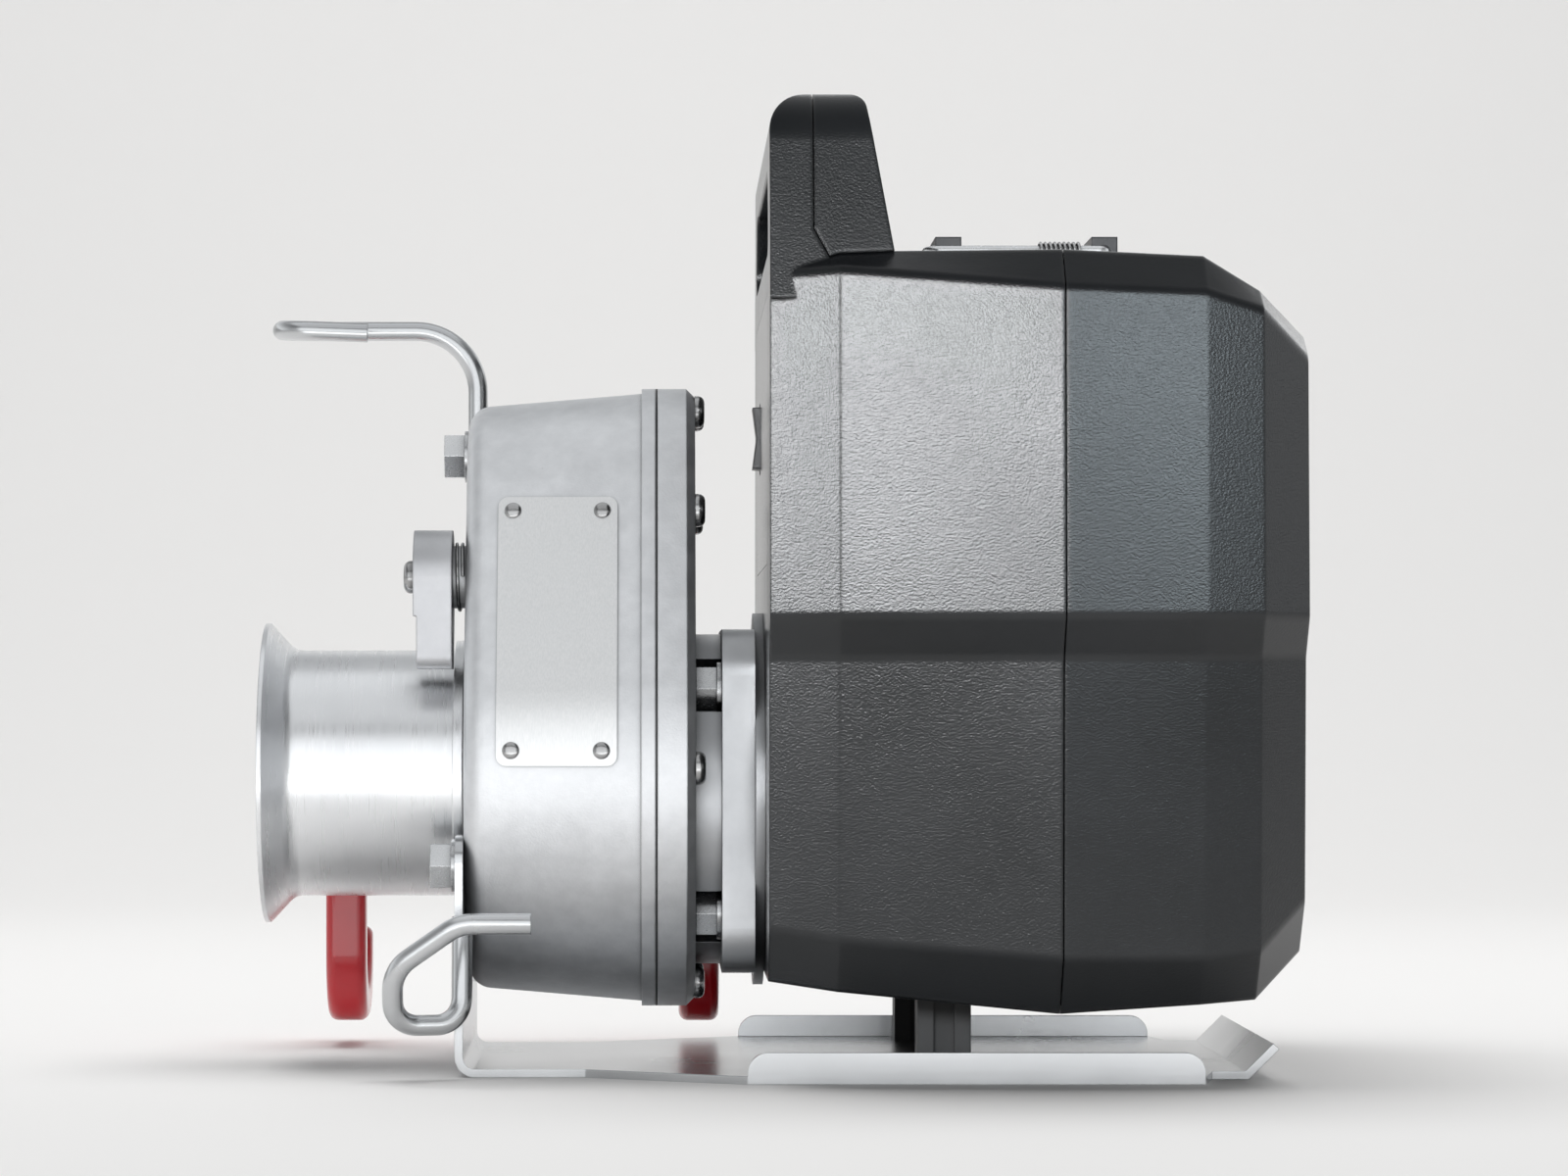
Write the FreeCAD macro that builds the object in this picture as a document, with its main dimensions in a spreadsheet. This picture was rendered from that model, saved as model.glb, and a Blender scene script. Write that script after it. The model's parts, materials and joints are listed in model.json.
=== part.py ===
import FreeCAD, Part
import math
import os

import Sketcher

# A battery capstan winch. Millimetres, +Z up. The drum turns about an axis along X and points to -X,
# the near side in the photograph is -Y, and the skid plate stands on Z = 0.
# X = 0 is the split between the gear case and its cover.

SIZES = {
    # Fits and cuts
    "overrun": 1.0,
    "running_clearance": 0.03,
    "part_clearance": 0.3,
    # Gear case
    "skid_case_gap": 15.5,
    "case_depth": 57.5,
    "case_round_radius": 70.5,
    "case_crown_radius": 43.5,
    "case_crown_rise": 74.0,
    "case_draft": 4.5,
    "case_wall": 5.5,
    "case_front_wall": 7.5,
    "case_edge_radius": 7.0,
    "case_lip_depth": 4.3,
    "case_lip_step": 1.5,
    "gasket_thickness": 0.6,
    "cover_thickness": 11.4,
    "cover_bevel": 2.6,
    "cover_screw_inset": 6.5,
    "cover_screw_radius": 2.2,
    "cover_screw_reach": 24.0,
    "button_head_radius": 5.0,
    "button_head_height": 3.0,
    "button_socket_radius": 1.9,
    "button_socket_depth": 1.6,
    "front_thread_depth": 6.5,
    "case_plug_rise": 98.0,
    "hex_bolt_radius": 4.0,
    "hex_flange_radius": 8.0,
    "hex_flange_thickness": 1.5,
    "hex_head_width": 13.0,
    "hex_head_height": 6.3,
    "anchor_pad_centre": 28.5,
    "anchor_pad_half_length": 20.0,
    "anchor_pad_half_height": 28.0,
    "anchor_pad_face": 74.0,
    "anchor_pad_root": 6.0,
    "anchor_bolt_half_length": 12.0,
    "anchor_bolt_half_height": 19.0,
    "anchor_thread_depth": 9.0,
    # Nameplate
    "plate_length": 81.0,
    "plate_width": 36.0,
    "plate_thickness": 0.8,
    "plate_corner_radius": 3.0,
    "plate_front_margin": 10.0,
    "plate_low_rise": 3.0,
    "rivet_head_radius": 2.6,
    "rivet_head_height": 1.2,
    "rivet_inset": 4.5,
    # Gear train
    "fine_module": 1.5,
    "coarse_module": 2.5,
    "tooth_thinning": 0.22,
    "drum_gear_width": 13.0,
    "fine_gear_width": 7.5,
    "layer_gap": 1.5,
    "ledge_step": 1.0,
    "bridge_thickness": 7.0,
    "bridge_edge_gap": 0.3,
    "bridge_screw_half_spread": 30.0,
    "bridge_screw_drop": 12.0,
    "bridge_boss_radius": 6.0,
    "bridge_screw_radius": 2.5,
    "bridge_head_radius": 5.0,
    "bridge_head_height": 2.6,
    "bridge_screw_reach": 14.0,
    "gear_web_recess": 3.0,
    # Bearings and seals
    "drum_bearing_bore": 25.0,
    "drum_bearing_diameter": 42.0,
    "drum_bearing_width": 9.0,
    "rear_bearing_bore": 17.0,
    "rear_bearing_diameter": 30.0,
    "rear_bearing_width": 7.0,
    "shaft_bearing_bore": 10.0,
    "shaft_bearing_diameter": 22.0,
    "shaft_bearing_width": 6.0,
    "bearing_shield_recess": 0.5,
    "bearing_race": 2.0,
    "bearing_hub_wall": 6.0,
    "drum_seal_radius": 20.0,
    "drum_seal_width": 5.0,
    "seal_lip_recess": 1.2,
    # Drum and its shaft
    "drum_radius": 38.0,
    "drum_rim_radius": 46.3,
    "drum_rim_width": 1.4,
    "drum_flare_width": 9.0,
    "drum_flare_radius": 6.0,
    "drum_length": 62.0,
    "drum_case_gap": 1.0,
    "drum_collar_radius": 41.0,
    "drum_collar_width": 3.0,
    "drum_wall": 6.0,
    "drum_front_recess": 21.0,
    "drum_back_recess": 26.0,
    "drum_hub_radius": 20.0,
    "drum_seat_radius": 12.5,
    "shaft_shoulder_radius": 15.0,
    "gear_seat_radius": 12.0,
    "shaft_thread_radius": 8.0,
    "shaft_thread_length": 19.0,
    "drum_nut_width": 24.0,
    "drum_nut_height": 13.0,
    "key_width": 8.0,
    "key_height": 7.0,
    "key_shaft_depth": 4.0,
    "drum_key_length": 22.0,
    "gear_key_length": 11.0,
    "key_end_gap": 1.0,
    "drum_nut_flange_radius": 16.0,
    "drum_nut_flange": 3.0,
    "second_shaft_way_radius": 12.0,
    "fine_seat_radius": 8.0,
    "fine_hub_radius": 12.0,
    "first_seat_radius": 5.5,
    # Motor adapter and motor
    "motor_pinion_bore": 8.0,
    "motor_shaft_way_radius": 11.0,
    "adapter_neck_length": 8.0,
    "adapter_neck_radius": 51.0,
    "adapter_flange_thickness": 10.0,
    "adapter_flange_half": 52.0,
    "adapter_corner_radius": 14.0,
    "adapter_bolt_half_spread": 34.0,
    "adapter_scallop_radius": 11.5,
    "adapter_shaft_gap": 1.0,
    "adapter_screw_half_spread": 18.0,
    "adapter_screw_radius": 3.0,
    "adapter_head_radius": 5.0,
    "adapter_head_height": 6.0,
    "adapter_thread_depth": 10.0,
    "motor_plate_thickness": 3.0,
    "motor_plate_radius": 57.5,
    "vent_inner_radius": 28.0,
    "vent_outer_radius": 40.0,
    "vent_width": 5.0,
    "can_radius": 46.0,
    "can_wall": 3.0,
    "can_flange_thickness": 6.0,
    "can_flange_margin": 10.0,
    "can_length": 46.0,
    "can_back_wall": 8.0,
    "stator_end_gap": 3.0,
    "stator_slot_radius": 36.0,
    "stator_slot_width": 5.0,
    "rotor_radius": 27.0,
    "rotor_air_gap": 0.6,
    "rotor_seat_radius": 7.0,
    "fan_gap": 2.0,
    "fan_width": 10.0,
    "fan_hub_radius": 10.0,
    "fan_radius": 38.0,
    "fan_disc_thickness": 1.6,
    "fan_blade_thickness": 1.8,
    # Housing sections, from the front face to the rear face
    "shell_wall": 3.0,
    "seam_gap": 0.4,
    "front_shell_length": 84.0,
    "rear_shell_length": 71.6,
    "crease_setback": 20.0,
    "brow_lead": 31.0,
    "knee_lead": 14.5,
    "housing_top_rise": 152.5,
    "housing_bottom_drop": 68.5,
    "housing_half_width": 130.0,
    "waist_rise": 35.0,
    "waist_height": 11.5,
    "waist_step": 9.0,
    "shoulder_step": 15.0,
    "skirt_step": 16.0,
    "shoulder_draft": 3.5,
    "skirt_draft": 2.5,
    "outer_edge_radius": 4.0,
    "inner_edge_radius": 1.5,
    "front_top_drop": 1.0,
    "front_shoulder_drop": 5.0,
    "front_draw_in": 17.0,
    "front_skirt_rise": 16.0,
    "front_bottom_rise": 8.5,
    "crease_top_drop": 0.2,
    "crease_shoulder_drop": 5.3,
    "crease_draw_in": 6.0,
    "crease_skirt_rise": 15.5,
    "crease_bottom_rise": 6.0,
    "seam_shoulder_drop": 11.5,
    "seam_skirt_rise": 16.5,
    "brow_top_drop": 1.7,
    "brow_shoulder_drop": 11.3,
    "brow_draw_in": 3.0,
    "brow_skirt_rise": 14.0,
    "brow_bottom_rise": 2.5,
    "knee_top_drop": 11.5,
    "knee_shoulder_drop": 6.0,
    "knee_draw_in": 6.0,
    "knee_skirt_rise": 14.7,
    "knee_bottom_rise": 3.8,
    "rear_top_drop": 24.0,
    "rear_shoulder_drop": 6.5,
    "rear_draw_in": 20.0,
    "rear_skirt_rise": 15.5,
    "rear_bottom_rise": 17.0,
    "tab_half_spread": 60.0,
    "tab_width": 20.0,
    "tab_reach": 8.0,
    "tab_root": 6.0,
    "tab_thickness": 3.0,
    "tab_clearance": 1.4,
    # Handle
    "handle_rise": 47.7,
    "handle_foot_half": 114.0,
    "handle_head_half": 103.0,
    "handle_root": 8.0,
    "handle_leg": 25.0,
    "handle_grip": 21.0,
    "handle_sill": 1.5,
    "handle_corner_radius": 18.0,
    "handle_opening_radius": 7.0,
    "handle_split": 12.5,
    "handle_web_rise": 6.5,
    "handle_web_run": 7.0,
    "handle_roll_radius": 12.0,
    "handle_back_roll": 6.0,
    "handle_back_depth": 24.0,
    "handle_top_depth": 15.0,
    # Front panel and power rocker
    "panel_half_width": 84.0,
    "panel_waist_gap": 16.5,
    "panel_top_margin": 9.5,
    "panel_corner": 14.0,
    "panel_thickness": 1.5,
    "rocker_width": 13.0,
    "rocker_length": 21.0,
    "rocker_panel_rise": 42.0,
    "rocker_offset": 30.0,
    "rocker_gap": 0.8,
    "rocker_rise": 2.5,
    "rocker_nose_draft": 0.9,
    "rocker_depth": 9.0,
    "rocker_pivot_depth": 6.0,
    "rocker_pin_radius": 1.5,
    "rocker_lug_thickness": 3.0,
    "rocker_lug_half_height": 4.0,
    # Battery, dock and controller
    "dock_setback": 12.0,
    "dock_thickness": 4.0,
    "dock_half_width": 70.0,
    "dock_bottom_margin": 30.5,
    "dock_top_margin": 29.5,
    "dock_screw_inset": 8.0,
    "dock_boss_radius": 6.0,
    "dock_corner_radius": 6.0,
    "pack_half_width": 60.0,
    "pack_inset": 6.0,
    "pack_depth": 68.0,
    "pack_grip_depth": 16.0,
    "pack_grip_height": 22.0,
    "controller_half_width": 45.0,
    "controller_can_gap": 24.0,
    "controller_base": 14.0,
    "controller_fin_height": 14.0,
    "controller_length": 50.0,
    # Draw latch over the seam
    "latch_half_width": 14.0,
    "latch_block_length": 8.0,
    "latch_rise": 12.5,
    "latch_base_drop": 0.6,
    "keeper_setback": 31.0,
    "latch_base_setback": 16.6,
    "latch_pivot_rise": 8.0,
    "bail_radius": 1.6,
    "bail_side_gap": 0.8,
    "bail_hook_gap": 0.8,
    "bail_end_gap": 1.0,
    "bail_root_bend": 2.2,
    "bail_bend_radius": 4.0,
    "spring_wire_radius": 0.5,
    "latch_spring_length": 14.0,
    "latch_spring_gap": 2.8,
    # Skid plate and posts
    "skid_sheet": 2.5,
    "skid_length": 236.0,
    "skid_front_half_width": 62.0,
    "skid_flange_half_width": 91.0,
    "skid_tail_half_width": 70.0,
    "skid_splay_setback": 39.0,
    "skid_flange_setback": 87.0,
    "skid_flange_length": 134.0,
    "skid_flange_relief": 4.0,
    "skid_flange_height": 9.4,
    "skid_flange_radius": 6.0,
    "skid_ear_rise": 9.3,
    "skid_ear_radius": 8.0,
    "skid_drum_gap": 4.0,
    "skid_kick_length": 12.7,
    "skid_bend_radius": 6.0,
    "skid_bolt_half_spread": 44.0,
    "skid_bolt_drop": 27.3,
    "post_setback": 52.0,
    "post_half_spread": 73.0,
    "post_length": 15.7,
    "post_depth": 16.0,
    "post_groove_width": 6.0,
    "post_groove_depth": 2.5,
    "post_seat_gap": 0.2,
    # Rope guide and rope exit hook
    "rod_radius": 3.1,
    "skid_weld_low": 22.0,
    "skid_weld_length": 26.0,
    "guide_step": 6.0,
    "guide_width": 20.0,
    "guide_low": 16.4,
    "guide_waist": 33.0,
    "guide_top": 47.0,
    "guide_end_reach": 21.0,
    "guide_bend": 8.2,
    "guide_crown_bend": 13.0,
    "hook_riser_offset": 6.0,
    "rod_joggle_bend": 10.0,
    "exit_hook_rise": 142.0,
    "exit_hook_reach": 62.5,
    "exit_hook_width": 22.0,
    "exit_hook_drop": 1.0,
    "exit_hook_return": 28.0,
    "exit_hook_bend": 20.0,
    "exit_hook_turn": 10.5,
    # Rope lock over the drum
    "lock_pivot_reach": 30.0,
    "lock_pivot_rise": 60.0,
    "lock_boss_radius": 9.5,
    "lock_boss_height": 4.1,
    "lock_screw_radius": 3.0,
    "lock_thickness": 11.7,
    "lock_crown": 14.2,
    "lock_toe_outer": 12.0,
    "lock_toe_inner": 5.0,
    "lock_toe_drop": 28.0,
    "lock_toe_radius": 4.0,
    "lock_step": 1.0,
    "lock_step_drop": 12.0,
    # Anchor bar and safety hooks
    "anchor_plate_thickness": 8.0,
    "anchor_bar_radius": 7.0,
    "weld_depth": 0.5,
    "collar_radius": 11.0,
    "collar_width": 5.0,
    "front_hook_setback": 20.5,
    "rear_hook_setback": 2.0,
    "hook_thickness": 13.0,
    "hook_eye_radius": 15.0,
    "hook_eye_clearance": 0.08,
    "hook_length": 82.0,
    "hook_half_width": 24.0,
    "hook_inner_half": 12.0,
    "hook_inner_floor": 70.0,
    "hook_tip_level": 52.0,
    "hook_back_shoulder": 36.0,
    "hook_inner_shoulder": 34.0,
    "hook_neck_front": 8.0,
    "hook_neck_drop": 24.0,
    "hook_outer_round": 22.0,
    "hook_inner_round": 11.0,
    "hook_back_round": 14.0,
    "hook_tip_round": 5.0,
    "hook_edge_radius": 3.0,
    "latch_pivot_reach": 7.0,
    "latch_pivot_drop": 22.0,
    "latch_lug_radius": 6.0,
    "latch_fork_radius": 11.5,
    "latch_width": 5.0,
    "latch_pin_radius": 2.2,
    "latch_hub_radius": 5.0,
    "latch_tip_half": 2.5,
    "latch_tip_radius": 1.5,
    "latch_overlap": 4.0,
}

COUNTS = {
    "vent_count": 12,
    "stator_slots": 9,
    "fan_blades": 9,
    "controller_fins": 6,
    "lock_spring_turns": 1.5,
    "fine_pinion_teeth": 12,
    "fine_gear_teeth": 40,
    "coarse_pinion_teeth": 11,
    "coarse_gear_teeth": 45,
}

SHARES = {
    "addendum_share": 1.0,
    "dedendum_share": 1.25,
    "gear_rim_share": 3.2,
    "button_dome_share": 0.7,
    "lock_round_share": 0.95,
}

ANGLES = {
    "pressure_degrees": 25.0,
    "kick_degrees": 45.0,
    "low_screw_degrees": -78.0,
    "side_screw_degrees": 2.0,
    "shoulder_screw_degrees": 9.0,
    "crown_screw_degrees": 76.0,
}

FLANK_STEPS = 4
FULL_TURN = 360.0
NEAR = 1e-4
X_AXIS = FreeCAD.Vector(1, 0, 0)
Y_AXIS = FreeCAD.Vector(0, 1, 0)
Z_AXIS = FreeCAD.Vector(0, 0, 1)

doc = FreeCAD.newDocument("CapstanWinch")
sheet = doc.addObject("Spreadsheet::Sheet", "Sizes")
nodes = []


class Size:
    """A number that keeps the sheet formula it was worked out from."""

    def __init__(self, formula, value):
        self.formula = formula
        self.value = value

    def __float__(self):
        return self.value

    def __neg__(self):
        return Size("-(%s)" % self.formula, -self.value)

    def __add__(self, other):
        return joined(self, "+", other, float(self) + float(other))

    def __radd__(self, other):
        return joined(other, "+", self, float(other) + float(self))

    def __sub__(self, other):
        return joined(self, "-", other, float(self) - float(other))

    def __rsub__(self, other):
        return joined(other, "-", self, float(other) - float(self))

    def __mul__(self, other):
        return joined(self, "*", other, float(self) * float(other))

    def __rmul__(self, other):
        return joined(other, "*", self, float(other) * float(self))

    def __truediv__(self, other):
        return joined(self, "/", other, float(self) / float(other))


def formula_of(number):
    return number.formula if isinstance(number, Size) else repr(float(number))


def joined(first, sign, second, value):
    return Size("(%s %s %s)" % (formula_of(first), sign, formula_of(second)), value)


def cosine(angle):
    return Size("cos(%s * 1 deg)" % formula_of(angle), math.cos(math.radians(float(angle))))


def sine(angle):
    return Size("sin(%s * 1 deg)" % formula_of(angle), math.sin(math.radians(float(angle))))


def tangent(angle):
    return Size("tan(%s * 1 deg)" % formula_of(angle), math.tan(math.radians(float(angle))))


class SizeTable:
    """Reads the sheet: size.drum_radius is the cell with that alias."""

    def __getattr__(self, alias):
        return Size("Sizes." + alias, float(sheet.get(alias)))


size = SizeTable()


def fill_sheet():
    rows = list(SIZES.items()) + list(COUNTS.items()) + list(SHARES.items()) + list(ANGLES.items())
    for row, (alias, value) in enumerate(rows, 1):
        sheet.set("A%d" % row, alias)
        sheet.set("B%d" % row, str(value))
        sheet.setAlias("B%d" % row, alias)
    doc.recompute()


def vector(across, up, away=0):
    return FreeCAD.Vector(float(across), float(up), float(away))


def bind(thing, path, number):
    if isinstance(number, Size):
        thing.setExpression(path, number.formula)


def place(thing, x=0, y=0, z=0, rotation=None):
    if rotation is not None:
        thing.Placement = FreeCAD.Placement(FreeCAD.Vector(), rotation)
    bind(thing, "Placement.Base.x", x)
    bind(thing, "Placement.Base.y", y)
    bind(thing, "Placement.Base.z", z)
    return thing


def keep(thing, label):
    thing.Label = label
    nodes.append(thing)
    return thing


def new_body(label):
    body = doc.addObject("PartDesign::Body", label)
    body.Label = label
    return body


def origin_feature(body, role):
    return next(part for part in body.Origin.OriginFeatures if part.Role == role)


class Drawing:
    """A sketch on one of its body's planes, fully held by named sizes."""

    def __init__(self, body, role, offset=None):
        self.body = body
        self.sketch = body.newObject("Sketcher::SketchObject", body.Name + "_sketch")
        self.sketch.AttachmentSupport = [(origin_feature(body, role), "")]
        self.sketch.MapMode = "FlatFace"
        bind(self.sketch, "AttachmentOffset.Base.z", offset)
        self.constraints = []
        self.formulas = []

    def hold(self, constraint, formula=None):
        self.constraints.append(constraint)
        self.formulas.append(formula)

    def fix_point(self, item, end, across, up):
        for number, kind, axis in ((across, "DistanceX", -2), (up, "DistanceY", -1)):
            if isinstance(number, Size):
                self.hold(Sketcher.Constraint(kind, -1, 1, item, end, float(number)), number.formula)
            else:
                self.hold(Sketcher.Constraint("PointOnObject", item, end, axis))

    def fix_radius(self, item, radius):
        self.hold(Sketcher.Constraint("Radius", item, float(radius)), radius.formula)

    def arc(self, centre, start, end):
        radius = (start - centre).Length
        first = math.atan2(start.y - centre.y, start.x - centre.x)
        last = math.atan2(end.y - centre.y, end.x - centre.x)
        if last < first:
            last += 2 * math.pi
        round_line = Part.Circle(centre, Z_AXIS, radius)
        return self.sketch.addGeometry(Part.ArcOfCircle(round_line, first, last))

    def outline(self, corners):
        """A closed outline; a corner with a third value is rounded by that radius."""
        points = [vector(corner[0], corner[1]) for corner in corners]
        count = len(points)
        entries = list(points)
        leavings = list(points)
        centres = {}
        for i, corner in enumerate(corners):
            if len(corner) < 3:
                continue
            before = (points[i - 1] - points[i]).normalize()
            after = (points[(i + 1) % count] - points[i]).normalize()
            half_angle = before.getAngle(after) / 2
            trim = float(corner[2]) / math.tan(half_angle)
            entries[i] = points[i] + before * trim
            leavings[i] = points[i] + after * trim
            inward = (before + after).normalize()
            centres[i] = points[i] + inward * (float(corner[2]) / math.sin(half_angle))
        sides = []
        for i in range(count):
            side = Part.LineSegment(leavings[i], entries[(i + 1) % count])
            sides.append(self.sketch.addGeometry(side))
        for i, corner in enumerate(corners):
            before, after = sides[i - 1], sides[i]
            if i not in centres:
                self.hold(Sketcher.Constraint("Coincident", before, 2, after, 1))
                self.fix_point(after, 1, corner[0], corner[1])
                continue
            turn = (entries[i] - points[i]).cross(leavings[i] - points[i]).z
            forward = turn < 0
            ends = (entries[i], leavings[i]) if forward else (leavings[i], entries[i])
            bend = self.arc(centres[i], *ends)
            self.hold(Sketcher.Constraint("Tangent", before, 2, bend, 1 if forward else 2))
            self.hold(Sketcher.Constraint("Tangent", bend, 2 if forward else 1, after, 1))
            self.fix_radius(bend, corner[2])
            apex = self.sketch.addGeometry(Part.Point(points[i]), True)
            self.fix_point(apex, 1, corner[0], corner[1])
            self.hold(Sketcher.Constraint("PointOnObject", apex, 1, before))
            self.hold(Sketcher.Constraint("PointOnObject", apex, 1, after))
        return self

    def circle(self, across, up, radius):
        item = self.sketch.addGeometry(Part.Circle(vector(across, up), Z_AXIS, float(radius)))
        self.fix_point(item, 3, across, up)
        self.fix_radius(item, radius)
        return self

    def hexagon(self, across, up, width):
        """A hexagon with two flats square to the sketch's vertical, as wide as a spanner's jaw."""
        corner = width / math.sqrt(3)
        half = width / 2
        return self.outline([
            (across + corner, up), (across + corner / 2, up + half), (across - corner / 2, up + half),
            (across - corner, up), (across - corner / 2, up - half), (across + corner / 2, up - half),
        ])

    def rectangle(self, left, right, low, high):
        return self.outline([(left, low), (right, low), (right, high), (left, high)])

    def teardrop(self, round_radius, crown_radius, crown_rise):
        """A large round at the origin, a small one above it, and their two common tangents."""
        lean = math.asin((float(round_radius) - float(crown_radius)) / float(crown_rise))
        foot = vector(math.cos(lean), math.sin(lean))
        mirrored = vector(-math.cos(lean), math.sin(lean))
        low = vector(0, 0)
        high = vector(0, crown_rise)
        low_right = low + foot * float(round_radius)
        low_left = low + mirrored * float(round_radius)
        high_right = high + foot * float(crown_radius)
        high_left = high + mirrored * float(crown_radius)
        bottom = self.arc(low, low_left, low_right)
        right = self.sketch.addGeometry(Part.LineSegment(low_right, high_right))
        top = self.arc(high, high_right, high_left)
        left = self.sketch.addGeometry(Part.LineSegment(high_left, low_left))
        self.hold(Sketcher.Constraint("Tangent", bottom, 2, right, 1))
        self.hold(Sketcher.Constraint("Tangent", right, 2, top, 1))
        self.hold(Sketcher.Constraint("Tangent", top, 2, left, 1))
        self.hold(Sketcher.Constraint("Tangent", left, 2, bottom, 1))
        self.fix_point(bottom, 3, 0, 0)
        self.fix_point(top, 3, 0, crown_rise)
        self.fix_radius(bottom, round_radius)
        self.fix_radius(top, crown_radius)
        return self

    def done(self):
        indexes = self.sketch.addConstraint(self.constraints)
        for index, formula in zip(indexes, self.formulas):
            if formula:
                self.sketch.setExpression("Constraints[%d]" % index, formula)
        return self.sketch


def add_feature(body, kind, drawing):
    made = body.newObject("PartDesign::" + kind, body.Name + "_" + kind.lower())
    made.Profile = drawing.done()
    return made


def pad(body, drawing, length, reverse=False, symmetric=False):
    made = add_feature(body, "Pad", drawing)
    made.SideType = "Symmetric" if symmetric else "One side"
    made.Reversed = reverse
    bind(made, "Length", length)
    return made


def check_cut(body, before):
    doc.recompute()
    if not body.Shape.Volume < before:
        raise RuntimeError("a cut in %s takes nothing away" % body.Label)


def pocket(body, drawing, length=None, reverse=False, symmetric=False):
    doc.recompute()
    before = body.Shape.Volume
    made = add_feature(body, "Pocket", drawing)
    made.SideType = "Symmetric" if symmetric else "One side"
    made.Reversed = reverse
    if length is None:
        made.Type = "ThroughAll"
    else:
        bind(made, "Length", length)
    check_cut(body, before)
    return made


def revolve(body, drawing, axis="H_Axis"):
    made = add_feature(body, "Revolution", drawing)
    made.ReferenceAxis = (made.Profile[0], [axis])
    made.Angle = FULL_TURN
    return made


def groove(body, drawing, axis="H_Axis"):
    doc.recompute()
    before = body.Shape.Volume
    made = add_feature(body, "Groove", drawing)
    made.ReferenceAxis = (made.Profile[0], [axis])
    made.Angle = FULL_TURN
    check_cut(body, before)
    return made


def loft(body, drawings, kind="AdditiveLoft"):
    made = add_feature(body, kind, drawings[0])
    made.Sections = [drawing.done() for drawing in drawings[1:]]
    made.Ruled = True
    return made


def polar_pattern(body, feature, count, axis_role="X_Axis"):
    made = body.newObject("PartDesign::PolarPattern", body.Name + "_pattern")
    made.Originals = [feature]
    made.Axis = (origin_feature(body, axis_role), [""])
    made.Angle = FULL_TURN
    made.Occurrences = count
    body.Tip = made
    return made


def mirror(body, features, plane_role="XZ_Plane"):
    made = body.newObject("PartDesign::Mirrored", body.Name + "_mirror")
    made.Originals = features
    made.MirrorPlane = (origin_feature(body, plane_role), [""])
    body.Tip = made
    return made


def soften(body, kind, amount, chosen):
    """Fillets or chamfers the edges of the body that the test picks out."""
    doc.recompute()
    base = body.Tip
    edges = ["Edge%d" % number for number, edge in enumerate(base.Shape.Edges, 1) if chosen(edge)]
    made = body.newObject("PartDesign::" + kind, body.Name + "_" + kind.lower())
    made.Base = (base, edges)
    bind(made, "Radius" if kind == "Fillet" else "Size", amount)
    return made


def edge_lies_at(edge, direction, place_along):
    """True where the whole edge lies in the plane at that distance along the direction."""
    ends = [edge.valueAt(edge.FirstParameter), edge.valueAt(edge.LastParameter), edge.CenterOfMass]
    return all(abs(end.dot(direction) - float(place_along)) < NEAR for end in ends)


def edge_runs_along(edge, direction):
    ends = [edge.valueAt(edge.FirstParameter), edge.valueAt(edge.LastParameter)]
    span = ends[1] - ends[0]
    return span.Length > NEAR and abs(abs(span.dot(direction)) - edge.Length) < NEAR


def copies(label, master, spots, rotation=None):
    """One node of separate solids: the master at every spot."""
    links = []
    for x, y, z in spots:
        link = doc.addObject("App::Link", label + "_copy")
        link.LinkedObject = master
        links.append(place(link, x, y, z, rotation))
    group = doc.addObject("Part::Compound", label)
    group.Links = links
    return keep(group, label)


def shaped(label, shape):
    """A node whose form is worked out in code from the sheet's sizes."""
    thing = doc.addObject("Part::Feature", label)
    thing.Shape = shape
    return keep(thing, label)


def bent_path(points, radii):
    """Straight runs joined by tangent arcs, one radius for each inner point."""
    edges = []
    start = points[0]
    for i in range(1, len(points) - 1):
        back = (points[i - 1] - points[i]).normalize()
        ahead = (points[i + 1] - points[i]).normalize()
        trim = float(radii[i - 1]) / math.tan(back.getAngle(ahead) / 2)
        entry = points[i] + back * trim
        leaving = points[i] + ahead * trim
        edges.append(Part.LineSegment(start, entry).toShape())
        edges.append(corner_arc(entry, points[i], leaving))
        start = leaving
    edges.append(Part.LineSegment(start, points[-1]).toShape())
    return Part.Wire(edges)


def rod_along(path, radius):
    first = path.OrderedEdges[0]
    start = first.valueAt(first.FirstParameter)
    circle = Part.Circle(start, first.tangentAt(first.FirstParameter), float(radius))
    ring = Part.Wire([circle.toShape()])
    return path.makePipeShell([ring], True, False)


def point(x, y, z):
    return FreeCAD.Vector(float(x), float(y), float(z))



def corner_arc(entry, apex, leaving):
    """The arc tangent to both lines at an apex, between two points as far from it as each other."""
    back = (entry - apex).normalize()
    ahead = (leaving - apex).normalize()
    half_angle = back.getAngle(ahead) / 2
    trim = (entry - apex).Length
    radius = trim * math.tan(half_angle)
    centre = apex + (back + ahead).normalize() * (trim / math.cos(half_angle))
    middle = centre + (apex - centre).normalize() * radius
    return Part.Arc(entry, middle, leaving).toShape()


def biarc(start, start_way, end, end_way):
    """Two tangent arcs that leave the start and reach the end in the given directions."""
    span = end - start
    ways = start_way + end_way
    square = ways.dot(ways) - 4
    reach = (span.dot(ways) - math.sqrt(span.dot(ways) ** 2 - square * span.dot(span))) / square
    first = start + start_way * reach
    last = end - end_way * reach
    meeting = (first + last) / 2
    return [corner_arc(start, first, meeting), corner_arc(meeting, last, end)]


def helix_point(radius, pitch, angle):
    away = FreeCAD.Vector(pitch * angle / (2 * math.pi), radius * math.cos(angle), radius * math.sin(angle))
    way = FreeCAD.Vector(pitch / (2 * math.pi), -radius * math.sin(angle), radius * math.cos(angle))
    return away, way.normalize()


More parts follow.
